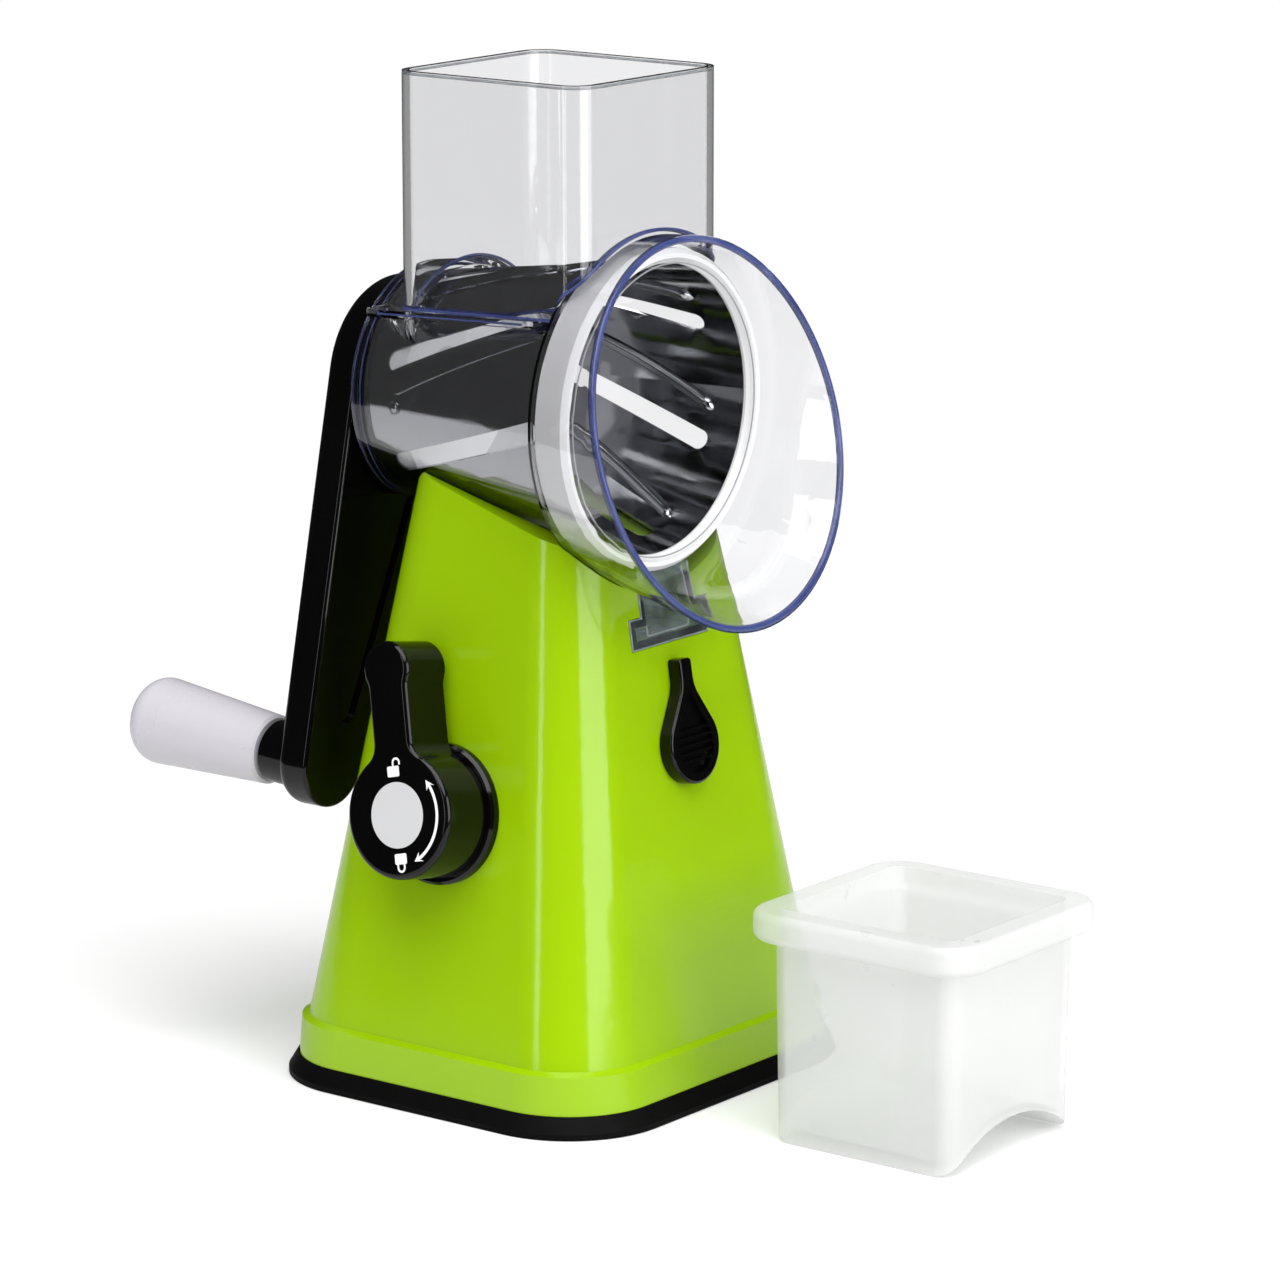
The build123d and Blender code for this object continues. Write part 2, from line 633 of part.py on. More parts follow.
def cam_pin_rod(radius, half_length):
    """A rod across the shaft through the cam."""
    across = Plane(origin=KNOB.from_local_coords((0, 0, CAM_DEPTH)), x_dir=KNOB_N, z_dir=(0, 1, 0))
    return post(across, radius, -half_length, half_length)


def make_cam_pin():
    return cam_pin_rod(CAM_PIN_R, CAM_R - 0.6)


def make_cam_shaft():
    shaft = post(KNOB, SHAFT_R, SHAFT_IN, SHAFT_OUT)
    shaft -= post(KNOB, KNOB_SCREW_R + SNUG, 4, SHAFT_OUT + 1)
    shaft -= cam_pin_rod(CAM_PIN_R + SNUG, 10)
    floor_r = SHAFT_R - CLIP_GROOVE
    low = SHAFT_IN + 1.4
    high = low + CLIP_T + 0.2
    return shaft - turned([(floor_r, low), (SHAFT_R + 1, low), (SHAFT_R + 1, high), (floor_r, high)], KNOB)


def make_shaft_clip():
    low = SHAFT_IN + 1.5
    inner = SHAFT_R - CLIP_GROOVE + SNUG
    outer = SHAFT_R + 2.6
    clip = turned([(inner, low), (outer, low), (outer, low + CLIP_T), (inner, low + CLIP_T)], KNOB)
    return clip - block(KNOB, (0, outer + 1), (-2.2, 2.2), (low - 1, low + 2))


def make_knob_bezel():
    return turned([(SHAFT_R + 1.5, 0), (BEZEL_R, 0), (BEZEL_R, BEZEL_H - 0.8),
                   (BEZEL_R - 0.8, BEZEL_H), (SHAFT_R + 1.5, BEZEL_H)], KNOB)


def make_knob_lever():
    lean = Rot(0, 0, LEVER_REST)
    neck = Pos(LEVER_LENGTH / 2, 0) * Rectangle(LEVER_LENGTH, LEVER_NECK)
    outline = Circle(KNOB_R) + neck + Pos(LEVER_LENGTH, 0) * Circle(LEVER_END_R)
    inner = [v for v in outline.vertices() if 10 < v.X < LEVER_LENGTH - 2]
    outline = fillet(inner, 6.0)
    low = BEZEL_H + SLIDE
    body = extrude(outline, KNOB_DEPTH - low)
    front = body.faces().sort_by(Axis.Z)[-1]
    body = fillet(front.edges(), 1.6)
    body = KNOB * (lean * (Pos(0, 0, low) * body))
    body -= post(KNOB, SHAFT_R + SNUG, 0, SHAFT_OUT)
    body -= post(KNOB, KNOB_HEAD_R + 0.8, SHAFT_OUT, KNOB_DEPTH)
    return body - post(KNOB, CAP_R + SNUG, KNOB_DEPTH - CAP_H, KNOB_DEPTH + 1)


def make_knob_cap():
    return post(KNOB, CAP_R, KNOB_DEPTH - CAP_H, KNOB_DEPTH)


def make_knob_screw():
    head = post(KNOB, KNOB_HEAD_R, SHAFT_OUT, SHAFT_OUT + 2.4)
    return head + post(KNOB, KNOB_SCREW_R, 5, SHAFT_OUT)


# ---------------------------------------------------------------- release latch
def make_release_button():
    low_y = -BUTTON_LENGTH / 2 + BUTTON_R
    high_y = BUTTON_LENGTH / 2 - BUTTON_STEM
    stem = RectangleRounded(2 * BUTTON_TIP_R, 2 * BUTTON_STEM, 1.2)
    outline = drop_outline(BUTTON_R, low_y, BUTTON_TIP_R, high_y) + Pos(0, high_y) * stem
    body = extrude(outline, BUTTON_PROUD - SLIDE)
    waist = [e for e in body.edges().filter_by(Axis.Z)
             if abs(e.center().Y - high_y) < 2.5 and e.center().Y < high_y + 1.5]
    body = fillet(waist, 10.0)
    body = fillet(body.faces().sort_by(Axis.Z)[-1].edges(), 0.8)
    pocket = extrude(drop_outline(BUTTON_R - 3.2, low_y, 1.0, high_y - 2), 2.0)
    rib = Box(2 * BUTTON_R, 0.9, 2, align=(Align.CENTER, Align.CENTER, Align.MIN))
    ribs = Part()
    for i in range(BUTTON_RIBS):
        ribs += Pos(0, low_y + BUTTON_RIB_PITCH * (BUTTON_RIBS // 2 - i), 0) * rib
    pocket = Pos(0, 0, BUTTON_PROUD - SLIDE - 1.6) * (pocket - (ribs & Pos(0, 0, -0.6) * pocket))
    body = FRONT * (Pos(0, 0, SLIDE) * (body - pocket))
    neck = block(FRONT, (-NECK_W / 2, NECK_W / 2), (NECK_LOW, NECK_HIGH), (SLIDE_FACES[1], SLIDE + 0.5))
    return body + neck - post(FRONT, SMALL_SCREW_R + SNUG, SLIDE_FACES[1] - 1, 1.5, 0, BUTTON_SCREW_Y)


def make_latch_slide():
    body = block(FRONT, (-SLIDE_W / 2, SLIDE_W / 2), (SLIDE_LOW, SLIDE_HIGH), SLIDE_FACES)
    nose = block(FRONT, (-NOSE_HALF, NOSE_HALF), (SLIDE_HIGH - 1, slide_top()), SLIDE_FACES)
    low = SLIDE_FACES[0] - 1
    seat = post(FRONT, SMALL_HEAD_R + SLIDE, low, SLIDE_FACES[0] + 2.0, 0, BUTTON_SCREW_Y)
    return body + nose - seat - post(FRONT, SMALL_SCREW_R + SLIDE, low, 0, 0, BUTTON_SCREW_Y)


def make_button_screw():
    seat = SLIDE_FACES[0] + 2.0
    return (post(FRONT, SMALL_HEAD_R, seat - SMALL_HEAD_H, seat, 0, BUTTON_SCREW_Y)
            + post(FRONT, SMALL_SCREW_R, seat, 1.0, 0, BUTTON_SCREW_Y))


def make_latch_guide():
    half = SLIDE_W / 2 + SLIDE
    face = -GUIDE_Z
    inner = -TOWER_WALL - 0.5
    guide = block(FRONT, (-GUIDE_X - 4, GUIDE_X + 4), (GUIDE_LOW, GUIDE_HIGH),
                  (face - GUIDE_PLATE, face))
    guide += block(FRONT, (half, half + GUIDE_RAIL), (GUIDE_LOW, GUIDE_HIGH), (face, inner))
    guide += block(FRONT, (-half - GUIDE_RAIL, -half), (GUIDE_LOW, GUIDE_HIGH), (face, inner))
    guide += block(FRONT, (-half, half), (GUIDE_LOW, GUIDE_LOW + 2), (face, inner))
    room = SMALL_HEAD_R + 0.6
    guide -= block(FRONT, (-room, room),
                   (BUTTON_SCREW_Y - BUTTON_TRAVEL - room, BUTTON_SCREW_Y + room + 0.2),
                   (face - 5, face + 1))
    for side in (-1, 1):
        guide -= post(FRONT, SMALL_SCREW_R + SLIDE, face - 5, face + 1, side * GUIDE_X, GUIDE_SCREW_Y)
    return guide


def make_latch_screws():
    screws = Part()
    top = -GUIDE_Z - GUIDE_PLATE
    for side in (-1, 1):
        screws += post(FRONT, SMALL_HEAD_R, top - SMALL_HEAD_H, top, side * GUIDE_X, GUIDE_SCREW_Y)
        screws += post(FRONT, SMALL_SCREW_R, top, -TOWER_WALL - 1, side * GUIDE_X, GUIDE_SCREW_Y)
    return screws


def make_latch_spring():
    low = GUIDE_LOW + 2.1
    along = Plane(origin=FRONT.from_local_coords((0, low, sum(SLIDE_FACES) / 2)), x_dir=(1, 0, 0),
                  z_dir=(0, sine(FRONT_TILT), cosine(FRONT_TILT)))
    return along * coil_spring(LATCH_SPRING_R, LATCH_WIRE_R, SLIDE_LOW - 0.1 - low, 6)


# ---------------------------------------------------------------- drum
def drum_band(inner, outer, front_y, back_y):
    """A thin conical shell between two offsets from the drum's outer surface."""
    return turned([(drum_r(back_y) + inner, back_y), (drum_r(back_y) + outer, back_y),
                   (drum_r(front_y) + outer, front_y), (drum_r(front_y) + inner, front_y)], BARREL)


def drum_slot(index, width, offset):
    """A slanted round-ended bar through the drum, beside the middle line of slot number index."""
    spoke = Rot(0, SLOT_TURN + 360 * index / SLOT_COUNT, 0)
    outline = Rot(0, 0, 90) * SlotOverall(SLOT_LENGTH, width)
    bar = Rot(0, 0, SLOT_SLANT) * (Pos(offset, 0, DRUM_BACK_R / 2) * extrude(outline, DRUM_FRONT_R))
    middle_y = (DRUM_BACK_Y + RING_BACK_Y) / 2 - 2.4
    return Pos(0, middle_y, AXIS_Z) * (spoke * bar)


def rivet_planes():
    y = DRUM_BACK_Y - RIVET_INSET
    planes = []
    lean = math.degrees(math.atan(DRUM_SLOPE))
    for i in range(SLOT_COUNT):
        turn = RIVET_TURN + 360 * i / SLOT_COUNT
        out = (sine(turn) * cosine(lean), sine(lean), cosine(turn) * cosine(lean))
        spot = (sine(turn) * drum_r(y), y, AXIS_Z + cosine(turn) * drum_r(y))
        planes.append(Plane(origin=spot, x_dir=(cosine(turn), 0, -sine(turn)), z_dir=out))
    return planes


def make_drum_shell():
    shell = drum_band(-STEEL, 0, DRUM_FRONT_Y, DRUM_BACK_Y)
    lips = drum_band(-STEEL, BLADE_PROUD, DRUM_FRONT_Y, DRUM_BACK_Y)
    for i in range(SLOT_COUNT):
        shell += lips & drum_slot(i, BLADE_WIDTH, 0.1 - (BLADE_WIDTH + SLOT_WIDTH) / 2)
    for i in range(SLOT_COUNT):
        shell -= drum_slot(i, SLOT_WIDTH, 0)
    for plane in rivet_planes():
        shell -= post(plane, RIVET_R + SNUG, -5, 5)
    return shell


def make_drum_ring():
    back = RING_BACK_Y
    front = RING_FRONT_Y
    step_y = DRUM_FRONT_Y - 0.2
    inner = drum_r(DRUM_FRONT_Y) - STEEL
    return turned([(drum_r(back) + SNUG, back), (RING_R - 0.6, back), (RING_R, back - 0.6),
                   (RING_R, front + 1.4), (RING_R - 1.4, front), (RING_R - 2.6, front),
                   (inner, step_y - 0.8), (inner, step_y), (drum_r(step_y) + SNUG, step_y)],
                  BARREL)


def make_drum_back():
    rim_y = DRUM_BACK_Y - BACK_RIM_LENGTH
    edge = STEEL + SNUG
    disc = turned([(0, DISC_Y), (drum_r(DISC_Y) - edge - 2.2, DISC_Y),
                   (drum_r(rim_y) - edge - 2.2, rim_y), (drum_r(rim_y) - edge, rim_y),
                   (drum_r(DRUM_BACK_Y - 0.6) - edge, DRUM_BACK_Y - 0.6), (0, DRUM_BACK_Y - 0.6)],
                  BARREL)
    disc += post(BARREL, HUB_R, HUB_FRONT_Y, DISC_Y + 1)
    hexagon = RegularPolygon(HEX_AF / 2 + SNUG, 6, major_radius=False)
    socket = extrude(Pos(0, 0, HUB_FRONT_Y + 2) * hexagon, 30)
    disc -= BARREL * socket
    for plane in rivet_planes():
        disc -= post(plane, RIVET_R + SNUG, -5, 5)
    return disc


def make_drum_rivets():
    rivets = Part()
    for plane in rivet_planes():
        rivets += post(plane, RIVET_R, -STEEL - SNUG - 2.4, 0.2) + post(plane, RIVET_HEAD_R, 0.08, 0.5)
    return rivets


# ---------------------------------------------------------------- crank
ARM = Plane(origin=(0, CRANK_FRONT_Y, AXIS_Z), x_dir=(cosine(CRANK_ANGLE), 0, -sine(CRANK_ANGLE)),
            z_dir=(0, 1, 0))
GRIP_X = -CRANK_LENGTH * sine(CRANK_ANGLE)
GRIP_Z = AXIS_Z - CRANK_LENGTH * cosine(CRANK_ANGLE)
GRIP_FOOT = (GRIP_X, CRANK_BACK_Y * (1 - cosine(GRIP_TILT)), GRIP_Z - CRANK_BACK_Y * sine(GRIP_TILT))
GRIP_AXIS = Plane(origin=GRIP_FOOT, x_dir=(1, 0, 0), z_dir=(0, cosine(GRIP_TILT), sine(GRIP_TILT)))


def make_drive_spindle():
    hexagon = RegularPolygon(HEX_AF / 2, 6, major_radius=False)
    hex_end = extrude(Pos(0, 0, HUB_FRONT_Y + 3) * hexagon, 20)
    spindle = BARREL * hex_end + post(BARREL, SPINDLE_R, DRUM_BACK_Y - 0.3, CRANK_FRONT_Y + 4)
    spindle += post(BARREL, SPINDLE_BOSS_R, CRANK_FRONT_Y - 1.2, CRANK_FRONT_Y)
    return spindle - post(BARREL, SPINDLE_SCREW_R + SNUG, CRANK_FRONT_Y - 14, CRANK_BACK_Y)


def make_crank_arm():
    arm = extrude(drop_outline(CRANK_HUB_R, 0, CRANK_END_R, CRANK_LENGTH), CRANK_THICK)
    arm = fillet(arm.faces().sort_by(Axis.Z)[-1].edges(), 4.0)
    arm = fillet(arm.faces().sort_by(Axis.Z)[0].edges(), 1.5)
    groove = extrude(drop_outline(10.0, 18, 4.0, CRANK_LENGTH - 16), 1.2)
    arm = ARM * (arm - groove)
    arm -= post(BARREL, SPINDLE_R + SNUG, CRANK_FRONT_Y - 1, CRANK_FRONT_Y + 4)
    arm -= post(BARREL, SPINDLE_SCREW_R + SLIDE, CRANK_FRONT_Y, CRANK_BACK_Y + 1)
    arm -= post(BARREL, SPINDLE_HEAD_R + 0.6, CRANK_BACK_Y - SPINDLE_SEAT, CRANK_BACK_Y + 1)
    arm -= post(BARREL, HUB_CAP_R + SNUG, CRANK_BACK_Y - HUB_CAP_SEAT, CRANK_BACK_Y + 1)
    arm += post(GRIP_AXIS, COLLAR_R, CRANK_BACK_Y - 4, CRANK_BACK_Y + 3)
    return arm - post(GRIP_AXIS, GRIP_PIN_R + SNUG, CRANK_FRONT_Y + 2.5, CRANK_BACK_Y + 5)


def make_spindle_screw():
    seat = CRANK_BACK_Y - SPINDLE_SEAT
    return (post(BARREL, SPINDLE_HEAD_R, seat, seat + 2.4)
            + post(BARREL, SPINDLE_SCREW_R, CRANK_FRONT_Y - 12, seat))


def make_hub_cap():
    back = CRANK_BACK_Y
    return turned([(0, back - HUB_CAP_SEAT), (HUB_CAP_R, back - HUB_CAP_SEAT), (HUB_CAP_R, back + 0.2),
                   (HUB_CAP_R - 1, back + 1.0), (0, back + 1.4)], BARREL)


def make_grip_collar():
    low = CRANK_BACK_Y + 3
    high = CRANK_BACK_Y + COLLAR_LENGTH
    bore = GRIP_PIN_R + SNUG
    return turned([(bore, low), (COLLAR_R, low), (COLLAR_R, high - 1.0), (COLLAR_R - 1.0, high),
                   (bore, high)], GRIP_AXIS)


def make_grip():
    bore = GRIP_PIN_R + RUN
    head_y = GRIP_BACK_Y - CAP_SEAT
    profile = Polyline((bore, 0, GRIP_FRONT_Y), (GRIP_NEAR_R - 0.8, 0, GRIP_FRONT_Y),
                       (GRIP_NEAR_R, 0, GRIP_FRONT_Y + 0.8), (GRIP_FAR_R, 0, GRIP_BACK_Y - GRIP_DOME))
    seat_r = GRIP_CAP_R + SNUG
    dome = ThreePointArc((GRIP_FAR_R, 0, GRIP_BACK_Y - GRIP_DOME), (GRIP_FAR_R - 1.6, 0, GRIP_BACK_Y - 2.2),
                         (seat_r, 0, GRIP_BACK_Y))
    inside = Polyline((seat_r, 0, GRIP_BACK_Y), (seat_r, 0, head_y), (bore, 0, head_y),
                      (bore, 0, GRIP_FRONT_Y))
    return GRIP_AXIS * revolve(make_face([profile, dome, inside]), Axis.Z)


def make_grip_pin():
    head_y = GRIP_BACK_Y - CAP_SEAT + 0.2
    return (post(GRIP_AXIS, GRIP_PIN_R, CRANK_FRONT_Y + 3, head_y)
            + post(GRIP_AXIS, GRIP_PIN_R + 2.5, head_y, head_y + 2.2))


def make_grip_cap():
    return turned([(0, GRIP_BACK_Y - 2.6), (GRIP_CAP_R, GRIP_BACK_Y - 2.6), (GRIP_CAP_R, GRIP_BACK_Y),
                   (0, GRIP_BACK_Y + 0.5)], GRIP_AXIS)


# ---------------------------------------------------------------- pusher
def make_pusher():
    """The food pusher: its underside follows the drum's ring when its rim sits on the chute."""
    top_x = CHUTE_X - 2 * CHUTE_WALL - 2 * SLIDE
    top_y = CHUTE_Y - 2 * CHUTE_WALL - 2 * SLIDE
    corner = CHUTE_R - CHUTE_WALL
    arch_r = RING_R + PUSHER_RING_GAP
    half = top_x / 2 - PUSHER_TAPER / 2
    low = math.sqrt(arch_r ** 2 - half ** 2)
    seat = OVERALL_HEIGHT - AXIS_Z - low
    rim_top = seat + PUSHER_RIM_H
    outer = loft([rounded(top_x - PUSHER_TAPER, top_y - PUSHER_TAPER, corner, 0),
                  rounded(top_x, top_y, corner, rim_top)], ruled=True)
    rim = extrude(rounded(top_x + 2 * PUSHER_RIM_W, top_y + 2 * PUSHER_RIM_W, corner + PUSHER_RIM_W,
                          seat), PUSHER_RIM_H)
    for level in (seat, rim_top):
        round_edges = rim.edges().filter_by(lambda e: abs(e.center().Z - level) < 0.01)
        rim = fillet(round_edges, PUSHER_RIM_ROUND)
    skin = PUSHER_WALL
    inner_x = top_x - 2 * skin
    inner_y = top_y - 2 * skin
    room = loft([rounded(inner_x - PUSHER_TAPER, inner_y - PUSHER_TAPER, corner - skin, 0),
                 rounded(inner_x, inner_y, corner - skin, rim_top)], ruled=True)
    arch = Plane(origin=(0, -top_y, -low), x_dir=(1, 0, 0), z_dir=(0, 1, 0))
    body = outer + rim - (room - post(arch, arch_r + skin, 0, 2 * top_y))
    body -= post(arch, arch_r, 0, 2 * top_y)
    return Pos(PUSHER_X, PUSHER_Y, 0) * body


PIECES = {
    "tower_shell": make_tower,
    "suction_pad": make_suction_pad,
    "base_plate": make_base_plate,
    "base_screws": make_base_screws,
    "pad_insert": make_pad_insert,
    "insert_nut": make_insert_nut,
    "pull_yoke": make_pull_yoke,
    "pad_spring": make_pad_spring,
    "cam_frame": make_cam_frame,
    "frame_screws": make_frame_screws,
    "lift_cam": make_lift_cam,
    "cam_pin": make_cam_pin,
    "cam_shaft": make_cam_shaft,
    "shaft_clip": make_shaft_clip,
    "knob_bezel": make_knob_bezel,
    "knob_lever": make_knob_lever,
    "knob_cap": make_knob_cap,
    "knob_screw": make_knob_screw,
    "hopper": make_hopper,
    "release_button": make_release_button,
    "latch_slide": make_latch_slide,
    "button_screw": make_button_screw,
    "latch_guide": make_latch_guide,
    "latch_screws": make_latch_screws,
    "latch_spring": make_latch_spring,
    "drum_shell": make_drum_shell,
    "drum_ring": make_drum_ring,
    "drum_back": make_drum_back,
    "drum_rivets": make_drum_rivets,
    "drive_spindle": make_drive_spindle,
    "crank_arm": make_crank_arm,
    "spindle_screw": make_spindle_screw,
    "hub_cap": make_hub_cap,
    "grip_collar": make_grip_collar,
    "grip": make_grip,
    "grip_pin": make_grip_pin,
    "grip_cap": make_grip_cap,
    "pusher": make_pusher,
}

os.makedirs("parts", exist_ok=True)
for name, make in PIECES.items():
    export_step(make(), f"parts/{name}.step")

print("knob axis through", KNOB_W, "along", KNOB_N)
print("grip axis through", (GRIP_X, GRIP_Z), "front wall tilt", FRONT_TILT)
print("lift per radian", PAD_LIFT / math.pi, "button plane", FRONT.origin)
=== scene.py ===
import math
import bpy
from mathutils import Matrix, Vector


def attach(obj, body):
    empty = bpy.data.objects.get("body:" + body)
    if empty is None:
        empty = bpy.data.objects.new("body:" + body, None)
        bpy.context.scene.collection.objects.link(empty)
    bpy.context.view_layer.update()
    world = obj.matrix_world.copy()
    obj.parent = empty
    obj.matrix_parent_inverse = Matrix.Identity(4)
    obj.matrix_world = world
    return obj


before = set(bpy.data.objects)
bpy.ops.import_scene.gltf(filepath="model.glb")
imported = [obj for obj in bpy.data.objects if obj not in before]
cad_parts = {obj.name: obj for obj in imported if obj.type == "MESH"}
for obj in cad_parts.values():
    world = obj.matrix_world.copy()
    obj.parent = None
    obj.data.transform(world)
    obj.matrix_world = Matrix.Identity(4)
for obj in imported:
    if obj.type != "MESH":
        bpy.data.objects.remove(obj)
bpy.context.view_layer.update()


# --- Tower ------------------------------------------------------------------------------------
# One tall tapering shell that holds the drum up and hides the suction works and the latch.
# Injection-moulded ABS in lime green, polished in the tool and cored out from below.

def linear(hex_colour):
    """An sRGB hex colour as the linear RGBA that Blender's sockets take."""
    parts = [int(hex_colour[i:i + 2], 16) / 255 for i in (1, 3, 5)]
    return [c / 12.92 if c <= 0.04045 else ((c + 0.055) / 1.055) ** 2.4 for c in parts] + [1.0]


def add(tree, kind, settings=None, values=None):
    """Adds a node: settings are its properties, values its inputs. An output given as a value is linked."""
    made = tree.nodes.new(kind)
    for key, value in (settings or {}).items():
        setattr(made, key, value)
    for key, value in (values or {}).items():
        if isinstance(value, bpy.types.NodeSocket):
            tree.links.new(value, made.inputs[key])
        else:
            made.inputs[key].default_value = value
    return made


def finish_of(name):
    """A new material's tree, emptied, with its object coordinates."""
    material = bpy.data.materials.new(name)
    material.use_nodes = True
    material.node_tree.nodes.clear()
    tree = material.node_tree
    return material, tree, add(tree, "ShaderNodeTexCoord").outputs["Object"]


def moulded(name, dark, light, rough, wave_mm, wave_um, **shader):
    """Moulded plastic or rubber: a faint mottle, uneven gloss, and the slight ripple of the tool's face."""
    mottle_m, gloss_m = 0.035, 0.012
    material, tree, place = finish_of(name)
    cloud = add(tree, "ShaderNodeTexNoise", None, {"Vector": place, "Scale": 1 / mottle_m, "Detail": 3.0})
    tint = add(tree, "ShaderNodeMix", {"data_type": "RGBA"},
               {0: cloud.outputs["Fac"], 6: linear(dark), 7: linear(light)})
    haze = add(tree, "ShaderNodeTexNoise", None, {"Vector": place, "Scale": 1 / gloss_m, "Detail": 4.0})
    gloss = add(tree, "ShaderNodeMapRange", None,
                {"Value": haze.outputs["Fac"], "From Min": 0.3, "From Max": 0.7,
                 "To Min": rough * 0.85, "To Max": rough * 1.2})
    ripple = add(tree, "ShaderNodeTexNoise", None, {"Vector": place, "Scale": 1000 / wave_mm, "Detail": 2.0})
    bump = add(tree, "ShaderNodeBump", None,
               {"Height": ripple.outputs["Fac"], "Distance": wave_um * 1e-6, "Strength": 1.0})
    values = {"Base Color": tint.outputs[2], "Roughness": gloss.outputs[0], "Normal": bump.outputs[0],
              "IOR": 1.5}
    values.update(shader)
    plastic = add(tree, "ShaderNodeBsdfPrincipled", None, values)
    add(tree, "ShaderNodeOutputMaterial", None, {"Surface": plastic.outputs[0]})
    return material


def wear(material, *nodes):
    """Gives CAD nodes their material."""
    for name in nodes:
        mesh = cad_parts[name].data
        mesh.materials.clear()
        mesh.materials.append(material)


# Gloss ABS: deep even colour, sharp but slightly rippled reflections about 6 mm apart.
lime_abs = moulded("lime_gloss_abs", "#85AB05", "#8CB305", rough=0.13, wave_mm=6.0, wave_um=5.0,
                   **{"Specular IOR Level": 0.42})
wear(lime_abs, "tower_shell")


# --- Suction foot -----------------------------------------------------------------------------
# A thick pad with a sloped skirt under the tower, pulled up in its middle to hold on the table.
# Compression-moulded black rubber with a steel insert, behind a glass-filled nylon plate.

# Rubber: satin, with a fine spark-eroded grain of about 0.4 mm.
black_rubber = moulded("satin_black_rubber", "#040404", "#080808", rough=0.55, wave_mm=0.5, wave_um=25.0,
                       **{"Specular IOR Level": 0.06})
wear(black_rubber, "suction_pad")

# Glass-filled nylon: dull black with a slight fibre mottle.
black_nylon = moulded("dull_black_nylon", "#141414", "#1F1F1F", rough=0.42, wave_mm=0.9, wave_um=14.0)
wear(black_nylon, "base_plate", "cam_frame", "latch_guide", "latch_slide")


# --- Steel fittings ---------------------------------------------------------------------------
# Screws, pins, the cam shaft, the clip and the insert, all bought in and hidden when in use.
# Cold-formed steel with bright zinc plate; the springs are drawn wire.

def plated(name, dark, light, rough, grain_mm):
    """Drawn or cold-formed steel: tool marks and a cloudy plate."""
    cloud_m = 0.004
    material, tree, place = finish_of(name)
    cloud = add(tree, "ShaderNodeTexNoise", None, {"Vector": place, "Scale": 1 / cloud_m, "Detail": 3.0})
    tint = add(tree, "ShaderNodeMix", {"data_type": "RGBA"},
               {0: cloud.outputs["Fac"], 6: linear(dark), 7: linear(light)})
    marks = add(tree, "ShaderNodeTexNoise", None, {"Vector": place, "Scale": 1000 / grain_mm, "Detail": 2.0})
    gloss = add(tree, "ShaderNodeMapRange", None,
                {"Value": marks.outputs["Fac"], "From Min": 0.3, "From Max": 0.7,
                 "To Min": rough * 0.8, "To Max": rough * 1.3})
    bump = add(tree, "ShaderNodeBump", None, {"Height": marks.outputs["Fac"], "Distance": 6e-6})
    steel = add(tree, "ShaderNodeBsdfPrincipled", None,
                {"Base Color": tint.outputs[2], "Metallic": 1.0, "Roughness": gloss.outputs[0],
                 "Normal": bump.outputs[0]})
    add(tree, "ShaderNodeOutputMaterial", None, {"Surface": steel.outputs[0]})
    return material


# Zinc plate: bright, with a slight cloud, over marks 0.4 mm apart from cold forming.
zinc_steel = plated("bright_zinc_plate", "#A9ADB2", "#C9CCCF", rough=0.25, grain_mm=0.4)
wear(zinc_steel, "base_screws", "frame_screws", "latch_screws", "button_screw", "spindle_screw", "knob_screw",
     "cam_pin", "cam_shaft", "shaft_clip", "insert_nut", "pad_insert", "grip_pin")
# Spring wire: greyer and duller, with fine draw marks.
spring_steel = plated("drawn_spring_wire", "#8A8C90", "#A5A7AA", rough=0.3, grain_mm=0.25)
wear(spring_steel, "pad_spring", "latch_spring")


# --- Cam and yoke -----------------------------------------------------------------------------
# The spiral cam on the lever's shaft and the yoke that it lifts, inside the tower.
# Natural acetal, self-greasing, moulded with a fine matt skin.

# Acetal: creamy white, with a waxy, matt skin.
acetal = moulded("natural_acetal", "#E6E3DA", "#EFECE4", rough=0.34, wave_mm=1.2, wave_um=8.0)
wear(acetal, "lift_cam", "pull_yoke")


# --- Suction lever ----------------------------------------------------------------------------
# A disc with a finger lever on a round base ring; half a turn pulls the pad up and holds it.
# Gloss black ABS, with a white cap over its screw and a printed arrow and padlocks on its face.

# Gloss ABS, black: mirror-like with a slight ripple about 5 mm apart.
black_abs = moulded("black_gloss_abs", "#020202", "#060606", rough=0.10, wave_mm=5.0, wave_um=4.0,
                    **{"Specular IOR Level": 0.32})
wear(black_abs, "knob_bezel", "knob_lever")
# The same ABS in white, a little softer in its gloss.
white_abs = moulded("white_gloss_abs", "#BDBDC0", "#C6C6C9", rough=0.18, wave_mm=5.0, wave_um=4.0)
wear(white_abs, "knob_cap")

# The lever's face, square to the tower's leaning left wall; places in metres, the print in mm.
KNOB_OUT = Vector((-0.9849271, 0, 0.1729702))
KNOB_UP = Vector((0.1729702, 0, 0.9849271))
KNOB_SIDE = Vector((0, -1, 0))
KNOB_SEAT = Vector((-0.0510975, 0.003, 0.0834976))
KNOB_HIGH = 0.0205
KNOB_FACE = KNOB_SEAT + KNOB_HIGH * KNOB_OUT
PRINT_MM = 0.03
PADLOCKS_R = 13.6


def on_knob(across, up, rise):
    """A point of the lever's face: mm to the right, mm up the wall and mm off the face."""
    return KNOB_FACE + (KNOB_SIDE * across + KNOB_UP * up + KNOB_OUT * rise) / 1000


